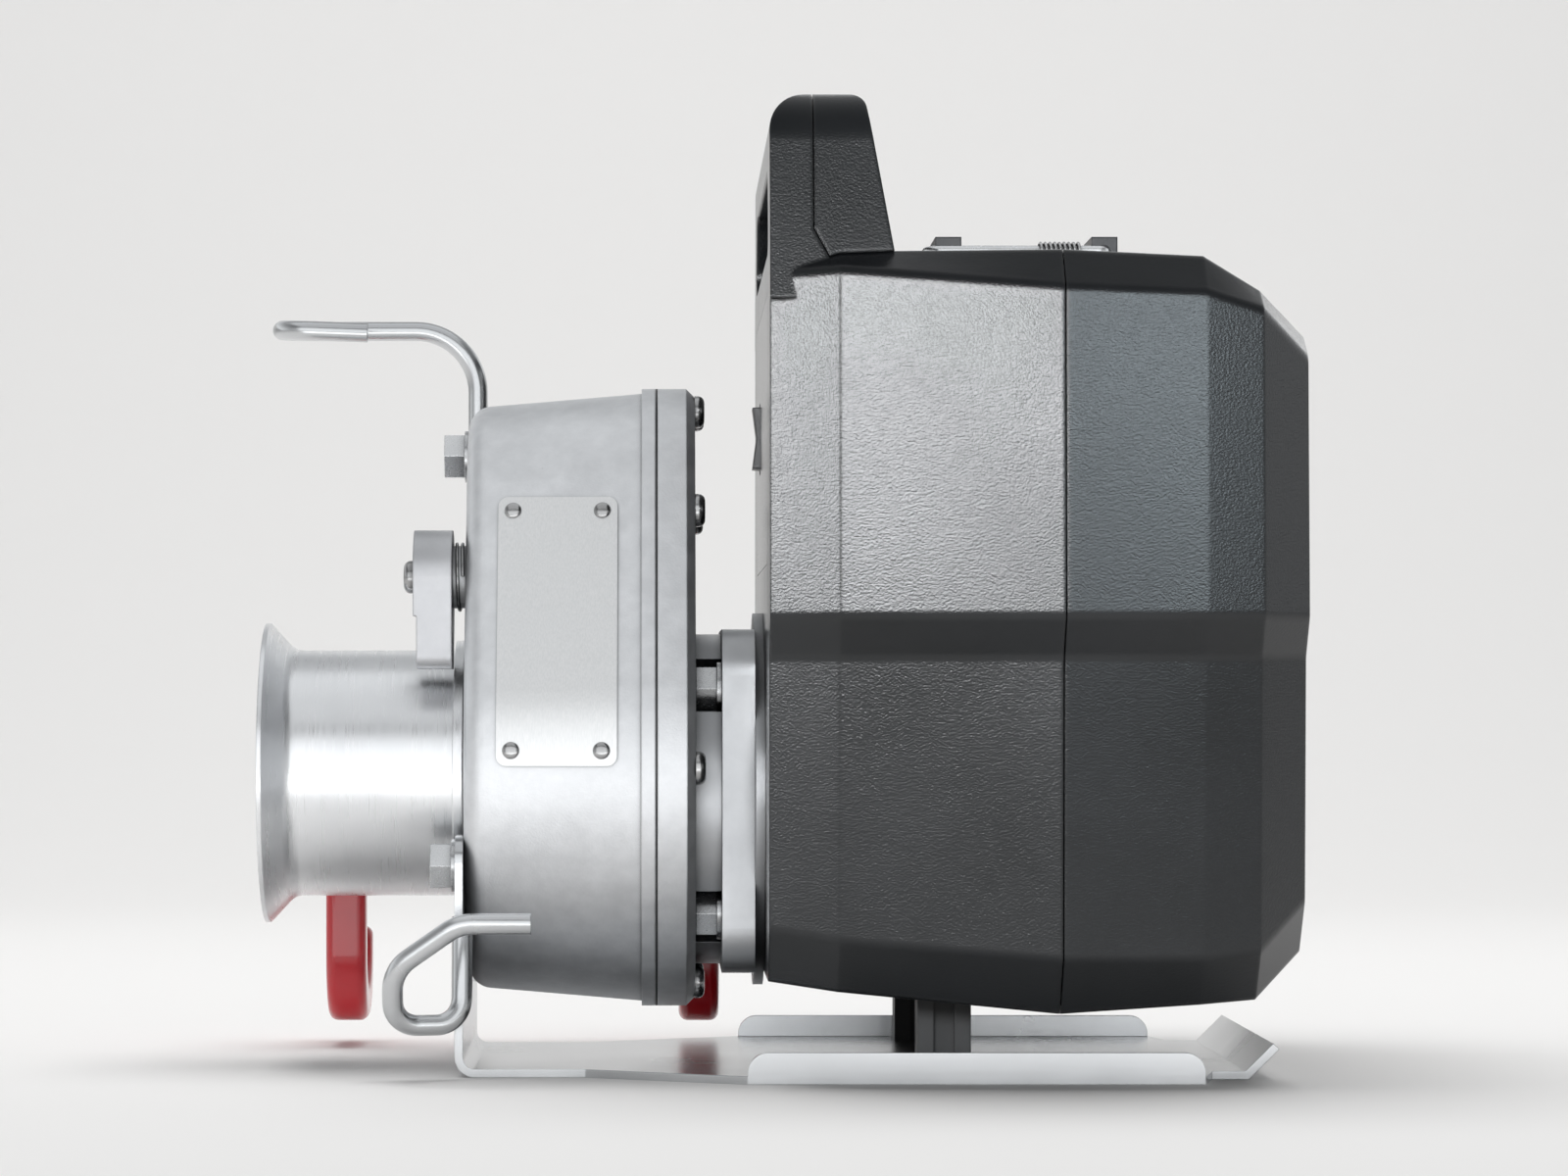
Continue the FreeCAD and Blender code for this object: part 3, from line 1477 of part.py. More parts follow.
def build_bearings_and_seals():
    front_bearing = sealed_ring(
        "drum_front_bearing", drum_bearing_front, size.drum_bearing_bore, size.drum_bearing_diameter,
        size.drum_bearing_width, size.bearing_race, size.bearing_shield_recess,
    )
    on_drum_axis(front_bearing, "drum_front_bearing")
    rear_bearing = sealed_ring(
        "drum_rear_bearing", bridge_front, size.rear_bearing_bore, size.rear_bearing_diameter,
        size.rear_bearing_width, size.bearing_race, size.bearing_shield_recess,
    )
    on_drum_axis(rear_bearing, "drum_rear_bearing")
    drum_seal = sealed_ring(
        "drum_seal", case_front, (size.shaft_shoulder_radius + size.running_clearance) * 2,
        size.drum_seal_radius * 2, size.drum_seal_width, size.seal_lip_recess, size.seal_lip_recess,
    )
    on_drum_axis(drum_seal, "drum_seal")
    small = sealed_ring(
        "shaft_bearing", 0, size.shaft_bearing_bore, size.shaft_bearing_diameter,
        size.shaft_bearing_width, size.bearing_race, size.bearing_shield_recess,
    )
    first_height = drum_axis_height + first_shaft_rise
    second_height = drum_axis_height + second_shaft_rise
    copies("shaft_bearings", small, [
        (bridge_back - size.shaft_bearing_width, 0, first_height),
        (cover_inner, 0, first_height),
        (case_inner_front - size.shaft_bearing_width, 0, second_height),
        (cover_inner, 0, second_height),
        (motor_front_bearing, 0, motor_axis_height),
        (motor_rear_bearing, 0, motor_axis_height),
    ])


def build_bearing_bridge():
    body = new_body("bearing_bridge")
    plate = Drawing(body, "YZ_Plane", bridge_front).teardrop(
        seat_round - size.bridge_edge_gap, seat_crown - size.bridge_edge_gap, size.case_crown_rise
    )
    plate.circle(0, 0, size.rear_bearing_diameter / 2 + size.running_clearance)
    plate.circle(0, second_shaft_rise, size.second_shaft_way_radius)
    for across, up in bridge_screw_spots():
        plate.circle(across, up, size.bridge_screw_radius + size.running_clearance)
    pad(body, plate, size.bridge_thickness)
    seat = Drawing(body, "YZ_Plane", bridge_back)
    seat.circle(0, first_shaft_rise, size.shaft_bearing_diameter / 2 + size.running_clearance)
    pocket(body, seat, size.shaft_bearing_width)
    heads = Drawing(body, "YZ_Plane", bridge_back)
    for across, up in bridge_screw_spots():
        heads.circle(across, up, size.bridge_head_radius + size.part_clearance)
    pocket(body, heads, size.bridge_head_height)
    on_drum_axis(body, "bearing_bridge")
    master = button_screw(
        "bridge_screw", size.bridge_screw_radius,
        size.bridge_thickness - size.bridge_head_height + size.bridge_screw_reach - size.overrun,
        size.bridge_head_radius, size.bridge_head_height,
    )
    seat_x = bridge_back - size.bridge_head_height
    copies("bridge_screws", master, [
        (seat_x, across, drum_axis_height + up) for across, up in bridge_screw_spots()
    ])


def involute(angle):
    return math.tan(angle) - angle


def gear_face(module, teeth, turn_degrees):
    """The tooth outline in the YZ plane, with one tooth centred on the given direction from +Y."""
    module = float(module)
    teeth = int(float(teeth))
    pressure = math.radians(float(size.pressure_degrees))
    pitch_radius = module * teeth / 2
    base_radius = pitch_radius * math.cos(pressure)
    tip_radius = pitch_radius + module * float(size.addendum_share)
    root_radius = pitch_radius - module * float(size.dedendum_share)
    half_tooth = math.pi / (2 * teeth) - float(size.tooth_thinning) / (2 * pitch_radius)
    start_radius = max(base_radius, root_radius)
    flank = []
    for step in range(FLANK_STEPS):
        radius = start_radius + (tip_radius - start_radius) * step / (FLANK_STEPS - 1)
        roll = math.acos(base_radius / radius)
        flank.append((radius, half_tooth + involute(pressure) - involute(roll)))
    flank.insert(0, (root_radius, flank[0][1]))
    points = []
    for tooth in range(teeth):
        centre = math.radians(turn_degrees) + 2 * math.pi * tooth / teeth
        rising = [(radius, centre - half) for radius, half in flank]
        falling = [(radius, centre + half) for radius, half in reversed(flank)]
        for radius, angle in rising + falling:
            points.append(FreeCAD.Vector(0, radius * math.cos(angle), radius * math.sin(angle)))
    points.append(points[0])
    return Part.Face(Part.makePolygon(points))


def disc(radius, start, end):
    return Part.makeCylinder(float(radius), float(end) - float(start), point(start, 0, 0), X_AXIS)


def ring_at(inner, outer, start, end):
    return disc(outer, start, end).cut(disc(inner, start, end))


def gear_blank(module, teeth, turn_degrees, start, end):
    teeth_solid = gear_face(module, teeth, turn_degrees).extrude(X_AXIS * (float(end) - float(start)))
    return teeth_solid.translated(point(start, 0, 0))


def webbed_gear(module, teeth, turn_degrees, start, end, bore, hub_radius):
    """A gear with its web drawn in between the hub and the toothed rim."""
    recess = float(size.gear_web_recess)
    rim_radius = float(module) * (float(teeth) / 2 - float(size.gear_rim_share))
    solid = gear_blank(module, teeth, turn_degrees, start, end).cut(disc(bore, start, end))
    solid = solid.cut(ring_at(hub_radius, rim_radius, start, float(start) + recess))
    return solid.cut(ring_at(hub_radius, rim_radius, float(end) - recess, end))


def raised(shape, height):
    return shape.translated(point(0, 0, height))


def build_gears():
    up = FULL_TURN / 4
    down = -up
    fine_half_pitch = FULL_TURN / float(size.fine_gear_teeth) / 2
    coarse_half_pitch = FULL_TURN / float(size.coarse_gear_teeth) / 2
    first_height = drum_axis_height + first_shaft_rise
    second_height = drum_axis_height + second_shaft_rise
    journal = size.shaft_bearing_bore / 2 - size.running_clearance
    seat = size.fine_seat_radius
    gap = size.running_clearance

    # Drum gear, keyed to the drum's shaft
    drum_gear = webbed_gear(
        size.coarse_module, size.coarse_gear_teeth, up + coarse_half_pitch,
        drum_gear_front, drum_gear_back, size.gear_seat_radius + gap, size.drum_hub_radius,
    )
    keyway = Part.makeBox(
        float(size.drum_gear_width), float(size.key_width + gap * 2),
        float(size.gear_seat_radius + key_rise + gap),
        point(drum_gear_front, -size.key_width / 2 - gap, 0),
    )
    shaped("drum_gear", raised(drum_gear.cut(keyway), drum_axis_height))

    # Second layshaft: coarse pinion cut in the shaft, fine gear pressed on behind it
    pinion = gear_blank(size.coarse_module, size.coarse_pinion_teeth, down, drum_gear_front, drum_gear_back)
    shaft = pinion.fuse([
        disc(journal, case_inner_front - size.shaft_bearing_width, cover_inner + size.shaft_bearing_width),
        disc(size.fine_seat_radius, case_inner_front + size.part_clearance, second_layer_back),
    ])
    shaped("second_shaft", raised(shaft.removeSplitter(), second_height))
    gear = webbed_gear(
        size.fine_module, size.fine_gear_teeth, down + fine_half_pitch,
        second_layer_front, second_layer_back, seat + gap, size.fine_hub_radius,
    )
    shaped("second_gear", raised(gear, second_height))

    # First layshaft: fine pinion cut in the shaft, fine gear pressed on behind it
    pinion = gear_blank(size.fine_module, size.fine_pinion_teeth, up, second_layer_front, second_layer_back)
    shaft = pinion.fuse([
        disc(journal, bridge_back - size.shaft_bearing_width, cover_inner + size.shaft_bearing_width),
        disc(size.first_seat_radius, bridge_back + size.part_clearance, cover_inner - size.part_clearance),
    ])
    shaped("first_shaft", raised(shaft.removeSplitter(), first_height))
    gear = webbed_gear(
        size.fine_module, size.fine_gear_teeth, down + fine_half_pitch,
        first_layer_front, first_layer_back, size.first_seat_radius + gap, size.fine_hub_radius,
    )
    shaped("first_gear", raised(gear, first_height))

    # Motor pinion on the motor's shaft
    pinion = gear_blank(size.fine_module, size.fine_pinion_teeth, up, first_layer_front, first_layer_back)
    pinion = pinion.cut(disc(size.motor_pinion_bore / 2 + gap, first_layer_front, first_layer_back))
    shaped("motor_pinion", raised(pinion, motor_axis_height))


housing_top = drum_axis_height + size.housing_top_rise
housing_bottom = drum_axis_height - size.housing_bottom_drop
waist_low = drum_axis_height + size.waist_rise
waist_high = waist_low + size.waist_height


class Station:
    """One cross-section of the housing, drawn in from the widest one by the sizes that bear its name."""

    def __init__(self, name, x, widest=False):
        self.x = x
        self.top = housing_top
        self.upper_half = size.housing_half_width
        self.bottom = housing_bottom
        if not widest:
            self.top = self.top - getattr(size, name + "_top_drop")
            self.upper_half = self.upper_half - getattr(size, name + "_draw_in")
            self.bottom = self.bottom + getattr(size, name + "_bottom_rise")
        self.shoulder = self.top - getattr(size, name + "_shoulder_drop")
        self.skirt = self.bottom + getattr(size, name + "_skirt_rise")


seam_front = shell_front + size.front_shell_length
seam_back = seam_front + size.seam_gap
rear_face = seam_back + size.rear_shell_length
front_station = Station("front", shell_front)
crease_station = Station("crease", shell_front + size.crease_setback)
seam_station = Station("seam", seam_front, widest=True)
rear_seam_station = Station("seam", seam_back, widest=True)
brow_station = Station("brow", rear_face - size.brow_lead)
knee_station = Station("knee", rear_face - size.knee_lead)
rear_station = Station("rear", rear_face)
handle_top = crease_station.top + size.handle_rise
panel_low = waist_high + size.panel_waist_gap
panel_high = front_station.top - size.panel_top_margin
rocker_height = panel_low + size.rocker_panel_rise
dock_low = housing_bottom + size.dock_bottom_margin
dock_high = housing_top - size.dock_top_margin


def station_drawing(body, station, inset, x=None):
    """Twelve rounded corners: top, shoulders, waist, skirt and bottom, drawn in all round by the inset."""
    upper = station.upper_half - inset
    lower = upper - size.waist_step
    top_half = upper - size.shoulder_step
    bottom_half = lower - size.skirt_step
    soft = size.inner_edge_radius if float(inset) > 0 else size.outer_edge_radius
    right = [
        (bottom_half, station.bottom + inset, soft),
        (lower - size.skirt_draft, station.skirt + inset / 2, soft),
        (lower, waist_low, soft),
        (upper, waist_high, soft),
        (upper - size.shoulder_draft, station.shoulder - inset / 2, soft),
        (top_half, station.top - inset, soft),
    ]
    left = [(-across, up, soft) for across, up, soft in reversed(right)]
    return Drawing(body, "YZ_Plane", station.x if x is None else x).outline(right + left)


def front_form(body, inset, kind="AdditiveLoft"):
    hollow = kind == "SubtractiveLoft"
    start = shell_front_inner if hollow else shell_front
    end = seam_front + size.overrun if hollow else seam_front
    return loft(body, [
        station_drawing(body, front_station, inset, start),
        station_drawing(body, crease_station, inset),
        station_drawing(body, seam_station, inset, end),
    ], kind)


def handle_outline(drawing):
    """The handle seen from the front: an arch with its finger opening."""
    foot = size.handle_foot_half
    head = size.handle_head_half
    low = front_station.shoulder - size.handle_root
    top = handle_top
    drawing.outline([
        (-foot, low), (foot, low),
        (head, top, size.handle_corner_radius), (-head, top, size.handle_corner_radius),
    ])
    inner_foot = foot - size.handle_leg
    inner_head = head - size.handle_leg
    sill = crease_station.top + size.handle_sill
    ceiling = top - size.handle_grip
    radius = size.handle_opening_radius
    drawing.outline([
        (-inner_foot, sill, radius), (inner_foot, sill, radius),
        (inner_head, ceiling, radius), (-inner_head, ceiling, radius),
    ])
    return drawing


def dock_spots():
    spots = []
    for side in (-1, 1):
        for up in (dock_low + size.dock_screw_inset, dock_high - size.dock_screw_inset):
            spots.append(((size.dock_half_width - size.dock_screw_inset) * side, up))
    return spots


def panel_outline(drawing, gap):
    half = size.panel_half_width + gap
    slope = size.panel_corner
    low = panel_low - gap
    high = panel_high + gap
    return drawing.outline([
        (-half + slope, low), (half - slope, low), (half, low + slope),
        (half, high), (-half, high), (-half, low + slope),
    ])


def rocker_outline(drawing, gap):
    half = size.rocker_width / 2 + gap
    reach = size.rocker_length / 2 + gap
    centre = rocker_height
    place_across = size.rocker_offset
    return drawing.rectangle(place_across - half, place_across + half, centre - reach, centre + reach)


def web_corners(split, far_level):
    """The slanted line at the foot of the handle's split, closed off at the far level."""
    foot = crease_station.top - size.handle_web_rise
    back = split + size.handle_web_run + size.overrun
    return [
        (split, foot + size.handle_web_rise * 2), (split + size.handle_web_run, foot),
        (back, foot), (back, far_level), (split, far_level),
    ]


def build_front_shell():
    body = new_body("front_shell")
    split = shell_front + size.handle_split
    arch = handle_outline(Drawing(body, "YZ_Plane", shell_front))
    pad(body, arch, size.handle_split + size.handle_web_run)
    # Behind the split only a slanted web is left at the foot of the handle
    behind_split = Drawing(body, "XZ_Plane").outline(web_corners(split, handle_top + size.overrun))
    pocket(body, behind_split, symmetric=True)
    # The grip is rounded over towards the front
    top = handle_top
    roll = size.handle_roll_radius
    over_front = Drawing(body, "XZ_Plane").outline([
        (shell_front, top - roll * 2),
        (shell_front, top, roll),
        (split, top),
        (split, top + size.overrun),
        (shell_front - size.overrun, top + size.overrun),
        (shell_front - size.overrun, top - roll * 2),
    ])
    pocket(body, over_front, symmetric=True)
    front_form(body, 0)
    front_form(body, size.shell_wall, "SubtractiveLoft")
    bosses = Drawing(body, "YZ_Plane", shell_front_inner)
    for across, up in dock_spots():
        bosses.circle(across, up, size.dock_boss_radius)
    pad(body, bosses, dock_front - shell_front_inner)
    openings = Drawing(body, "YZ_Plane", shell_front_inner)
    openings.circle(0, motor_axis_height, size.can_radius - size.can_wall)
    for across, up in adapter_bolt_spots():
        openings.circle(across, motor_axis_height + up, size.hex_bolt_radius + size.running_clearance)
    pocket(body, rocker_outline(openings, size.rocker_gap), size.shell_wall)
    recess = panel_outline(Drawing(body, "YZ_Plane", shell_front), size.part_clearance)
    pocket(body, recess, size.panel_thickness, reverse=True)
    # Two lugs inside the front wall hold the rocker's pins
    lugs = Drawing(body, "YZ_Plane", shell_front_inner)
    opening_half = size.rocker_width / 2 + size.rocker_gap
    low = rocker_height - size.rocker_lug_half_height
    high = rocker_height + size.rocker_lug_half_height
    left = size.rocker_offset - opening_half
    right = size.rocker_offset + opening_half
    lugs.rectangle(left - size.rocker_lug_thickness, left, low, high)
    lugs.rectangle(right, right + size.rocker_lug_thickness, low, high)
    pad(body, lugs, size.rocker_depth - size.shell_wall)
    pin_holes = Drawing(body, "XZ_Plane", -size.rocker_offset)
    hole_radius = size.rocker_pin_radius + size.running_clearance
    pin_holes.circle(shell_front + size.rocker_pivot_depth, rocker_height, hole_radius)
    pocket(body, pin_holes, (opening_half + size.rocker_lug_thickness) * 2, symmetric=True)
    return keep(body, "front_shell")


def build_rear_shell():
    body = new_body("rear_shell")
    wall = size.shell_wall
    loft(body, [
        station_drawing(body, station, 0)
        for station in (rear_seam_station, brow_station, knee_station, rear_station)
    ])
    loft(body, [
        station_drawing(body, rear_seam_station, wall, seam_back - size.overrun),
        station_drawing(body, brow_station, wall),
        station_drawing(body, knee_station, wall),
        station_drawing(body, rear_station, wall, rear_face - wall),
    ], "SubtractiveLoft")
    # Tabs on the lower edge hook in behind the front shell's floor
    floor = housing_bottom + wall
    tab_low = floor + size.tab_clearance
    tabs = Drawing(body, "XZ_Plane", -size.tab_half_spread).outline([
        (seam_front - size.tab_reach, tab_low),
        (seam_back, tab_low),
        (seam_back, floor - wall / 2),
        (seam_back + size.tab_root, floor - wall / 2),
        (seam_back + size.tab_root, tab_low + size.tab_thickness),
        (seam_front - size.tab_reach, tab_low + size.tab_thickness),
    ])
    first_tab = pad(body, tabs, size.tab_width)
    mirror(body, [first_tab])
    return keep(body, "rear_shell")


def build_handle_cover():
    """The rear half of the handle, cut to sit on the shell."""
    half = new_body("handle_half")
    split = shell_front + size.handle_split + size.seam_gap
    pad(half, handle_outline(Drawing(half, "YZ_Plane", split)), size.handle_back_depth)
    tip = shell_front + size.handle_split + size.handle_top_depth
    foot = split + size.handle_back_depth
    top = handle_top + size.overrun
    roll = size.handle_back_roll
    slope = Drawing(half, "XZ_Plane").outline([
        (tip - roll * 2, handle_top), (tip, handle_top, roll), (foot, crease_station.shoulder),
        (foot + size.overrun, crease_station.shoulder), (foot + size.overrun, top), (tip - roll * 2, top),
    ])
    pocket(half, slope, symmetric=True)
    corner = crease_station.top - size.handle_web_rise
    below_web = Drawing(half, "XZ_Plane").outline([
        (split, corner + size.handle_web_rise * 2), (split + size.handle_web_run, corner),
        (split + size.handle_web_run, corner - size.handle_root * 2), (split, corner - size.handle_root * 2),
    ])
    pocket(half, below_web, symmetric=True)
    form = new_body("handle_seat_form")
    front_form(form, -size.part_clearance)
    cover = doc.addObject("Part::Cut", "handle_cover")
    cover.Base = half
    cover.Tool = form
    return keep(cover, "handle_cover")


def build_front_panel():
    body = new_body("front_panel")
    drawing = panel_outline(Drawing(body, "YZ_Plane", shell_front), 0)
    pad(body, rocker_outline(drawing, size.rocker_gap), size.panel_thickness)
    keep(body, "front_panel")
    rocker = new_body("power_rocker")
    reach = size.rocker_length / 2
    nose = reach - size.rocker_nose_draft
    depth = size.rocker_depth
    profile = Drawing(rocker, "XZ_Plane").outline([
        (-size.rocker_rise, nose), (-size.rocker_rise / 2, 0), (-size.rocker_rise, -nose),
        (depth, -reach), (depth, reach),
    ])
    pad(rocker, profile, size.rocker_width, symmetric=True)
    pin = Drawing(rocker, "XZ_Plane").circle(size.rocker_pivot_depth, 0, size.rocker_pin_radius)
    pad(rocker, pin, size.rocker_width + (size.rocker_gap + size.rocker_lug_thickness) * 2, symmetric=True)
    place(keep(rocker, "power_rocker"), shell_front, size.rocker_offset, rocker_height)


dock_front = seam_front - size.dock_setback
dock_back = dock_front + size.dock_thickness


def build_power_unit():
    dock = new_body("battery_dock")
    plate = Drawing(dock, "YZ_Plane", dock_front)
    radius = size.dock_corner_radius
    half = size.dock_half_width
    plate.outline([
        (-half, dock_low, radius), (half, dock_low, radius),
        (half, dock_high, radius), (-half, dock_high, radius),
    ])
    pad(dock, plate, size.dock_thickness)
    keep(dock, "battery_dock")
    pack = new_body("battery_pack")
    half = size.pack_half_width
    low = dock_low + size.pack_inset
    high = dock_high - size.pack_inset
    block = Drawing(pack, "YZ_Plane", dock_back).outline([
        (-half, low, radius), (half, low, radius), (half, high, radius), (-half, high, radius),
    ])
    pad(pack, block, size.pack_depth)
    grip = Drawing(pack, "XZ_Plane").outline([
        (dock_back + size.pack_depth - size.pack_grip_depth, high - size.pack_grip_height),
        (dock_back + size.pack_depth + size.overrun, high - size.pack_grip_height),
        (dock_back + size.pack_depth + size.overrun, high + size.overrun),
        (dock_back + size.pack_depth - size.pack_grip_depth, high + size.overrun),
    ])
    pocket(pack, grip, symmetric=True)
    keep(pack, "battery_pack")
    controller = new_body("controller")
    half = size.controller_half_width
    low = motor_axis_height + size.can_radius + size.controller_can_gap
    fins = int(float(size.controller_fins))
    step = half * 2 / (2 * fins - 1)
    base = low + size.controller_base
    corners = [(-half, low), (half, low)]
    for fin in range(fins):
        edge = half - step * (2 * fin)
        fin_top = base + size.controller_fin_height
        corners += [(edge, fin_top), (edge - step, fin_top)]
        if fin < fins - 1:
            corners += [(edge - step, base), (edge - step * 2, base)]
    heat_sink = Drawing(controller, "YZ_Plane", shell_front_inner).outline(corners)
    pad(controller, heat_sink, size.controller_length)
    keep(controller, "controller")


def latch_block(label, x, floor):
    body = new_body(label)
    half = size.latch_half_width
    block = Drawing(body, "XY_Plane", floor).rectangle(x, x + size.latch_block_length, -half, half)
    pad(body, block, housing_top + size.latch_rise - floor)
    return body


def build_latch():
    keeper_x = seam_front - size.keeper_setback
    base_x = seam_back + size.latch_base_setback
    pivot_x = base_x + size.latch_block_length / 2
    pivot_z = housing_top + size.latch_pivot_rise
    keeper = latch_block("latch_keeper", keeper_x, housing_top)
    keep(keeper, "latch_keeper")
    base = latch_block("latch_base", base_x, housing_top - size.latch_base_drop)
    way = Drawing(base, "XZ_Plane").circle(pivot_x, pivot_z, size.bail_radius + size.running_clearance)
    pocket(base, way, symmetric=True)
    keep(base, "latch_base")
    arm = size.latch_half_width + size.bail_radius + size.bail_side_gap
    front_x = keeper_x - size.bail_radius - size.bail_hook_gap
    loop = bent_path([
        point(pivot_x, -size.bail_end_gap, pivot_z), point(pivot_x, -arm, pivot_z),
        point(front_x, -arm, pivot_z), point(front_x, arm, pivot_z),
        point(pivot_x, arm, pivot_z), point(pivot_x, size.bail_end_gap, pivot_z),
    ], [size.bail_root_bend, size.bail_bend_radius, size.bail_bend_radius, size.bail_root_bend])
    shaped("latch_bail", rod_along(loop, size.bail_radius))
    # Each spring on the bail's arms is a plain sleeve
    start = base_x - size.latch_spring_length - size.latch_spring_gap
    inside = size.bail_radius + size.part_clearance
    spring = new_body("latch_spring")
    ring = Drawing(spring, "YZ_Plane").circle(0, 0, inside + size.spring_wire_radius * 2)
    ring.circle(0, 0, inside)
    pad(spring, ring, size.latch_spring_length)
    copies("latch_springs", spring, [(start, arm * side, pivot_z) for side in (-1, 1)])

leg_front = case_front - size.skid_sheet
skid_tail = leg_front + size.skid_length


def build_skid_plate():
    body = new_body("skid_plate")
    narrow = size.skid_front_half_width
    wide = size.skid_flange_half_width
    tail = size.skid_tail_half_width
    flange_start = leg_front + size.skid_flange_setback
    flange_end = flange_start + size.skid_flange_length
    near_edge = [
        (leg_front, -narrow),
        (leg_front + size.skid_splay_setback, -narrow),
        (flange_start, -wide),
        (flange_end, -wide),
        (flange_end + size.skid_flange_relief, -tail),
        (skid_tail, -tail),
    ]
    far_edge = [(x, -y) for x, y in reversed(near_edge)]
    base = Drawing(body, "XY_Plane").outline(near_edge + far_edge)
    pad(body, base, size.skid_sheet)
    corner = size.skid_ear_radius
    leg_top = drum_axis_height - size.skid_bolt_drop + size.skid_ear_rise
    leg = Drawing(body, "YZ_Plane", leg_front).outline([
        (-narrow, 0), (narrow, 0), (narrow, leg_top, corner), (-narrow, leg_top, corner),
    ])
    pad(body, leg, size.skid_sheet)
    # The leg is cut away round the drum and drilled for its two bolts
    opening = Drawing(body, "YZ_Plane", case_front)
    opening.circle(0, drum_axis_height, size.drum_collar_radius + size.skid_drum_gap)
    for across, up in skid_bolt_spots():
        opening.circle(across, drum_axis_height + up, size.hex_bolt_radius + size.running_clearance)
    pocket(body, opening, size.skid_sheet)
    run = size.skid_kick_length * cosine(size.kick_degrees)
    rise = size.skid_kick_length * sine(size.kick_degrees)
    kick = Drawing(body, "XZ_Plane").outline([
        (skid_tail, 0),
        (skid_tail + run, rise),
        (skid_tail + run - size.skid_sheet * sine(size.kick_degrees),
         rise + size.skid_sheet * cosine(size.kick_degrees)),
        (skid_tail - size.skid_sheet * tangent(size.kick_degrees / 2), size.skid_sheet),
    ])
    pad(body, kick, tail * 2, symmetric=True)
    flange = Drawing(body, "XZ_Plane", wide).outline([
        (flange_start, 0), (flange_end, 0),
        (flange_end, size.skid_flange_height, size.skid_flange_radius),
        (flange_start, size.skid_flange_height, size.skid_flange_radius),
    ])
    near_flange = pad(body, flange, size.skid_sheet, reverse=True)
    mirror(body, [near_flange])
    soften(body, "Fillet", size.skid_bend_radius, lambda edge: skid_bend(edge, leg_front, 0))
    soften(body, "Fillet", size.skid_bend_radius - size.skid_sheet,
           lambda edge: skid_bend(edge, leg_front + size.skid_sheet, size.skid_sheet))
    keep(body, "skid_plate")
    bolt = hex_bolt("skid_bolt", size.front_thread_depth + size.skid_sheet)
    copies("skid_bolts", bolt, [
        (leg_front, across, drum_axis_height + up) for across, up in skid_bolt_spots()
    ])


def skid_bend(edge, x, z):
    return edge_runs_along(edge, Y_AXIS) and edge_lies_at(edge, X_AXIS, x) and edge_lies_at(edge, Z_AXIS, z)


def build_support_posts():
    """Two grooved posts from the skid to the shell's sloping floor."""
    blank = new_body("post_blank")
    x = shell_front + size.post_setback
    half = size.post_length / 2
    depth = size.post_depth / 2
    groove_half = size.post_groove_width / 2
    plan = Drawing(blank, "XY_Plane", size.skid_sheet).outline([
        (x - half, -depth),
        (x - groove_half, -depth),
        (x - groove_half, -depth + size.post_groove_depth),
        (x + groove_half, -depth + size.post_groove_depth),
        (x + groove_half, -depth),
        (x + half, -depth),
        (x + half, depth),
        (x - half, depth),
    ])
    pad(blank, plan, crease_station.bottom)
    form = new_body("post_seat_form")
    front_form(form, -size.post_seat_gap)
    post = doc.addObject("Part::Cut", "support_post")
    post.Base = blank
    post.Tool = form
    copies("support_posts", post, [(0, size.post_half_spread * side, 0) for side in (-1, 1)])


def build_rope_rods():
    radius = size.rod_radius
    weld_y = size.skid_front_half_width + radius + size.running_clearance
    x = leg_front + size.skid_sheet
    low = size.skid_weld_low
    guide = bent_path([
        point(x, -weld_y, low + size.skid_weld_length),
        point(x, -weld_y - size.guide_step, size.guide_low),
        point(x - size.guide_width, -weld_y - size.guide_step * 2, size.guide_low),
        point(x - size.guide_width, -weld_y - size.guide_step * 3, size.guide_waist),
        point(x, -weld_y - size.guide_step * 4, size.guide_top),
        point(x + size.guide_end_reach, -weld_y - size.guide_step * 4, size.guide_top),
    ], [size.guide_bend] * 2 + [size.guide_crown_bend] * 2)
    shaped("rope_guide", rod_along(guide, radius))
    riser_y = weld_y + size.hook_riser_offset
    top = drum_axis_height + size.exit_hook_rise
    near_y = riser_y - size.exit_hook_width
    tip = x - size.exit_hook_reach
    path = bent_path([
        point(x, weld_y, low),
        point(x, weld_y, low + size.skid_weld_length),
        point(x, riser_y, low + size.skid_weld_length + size.hook_riser_offset * 2),
        point(x, riser_y, top),
        point(tip, riser_y, top),
        point(tip, near_y, top - size.exit_hook_drop),
        point(tip + size.exit_hook_return, near_y, top - size.exit_hook_drop * 2),
    ], [size.rod_joggle_bend] * 2 + [size.exit_hook_bend] + [size.exit_hook_turn] * 2)
    shaped("rope_exit_hook", rod_along(path, radius))


lock_back = case_front - size.lock_boss_height
lock_front = lock_back - size.lock_thickness
lock_height = drum_axis_height + size.lock_pivot_rise


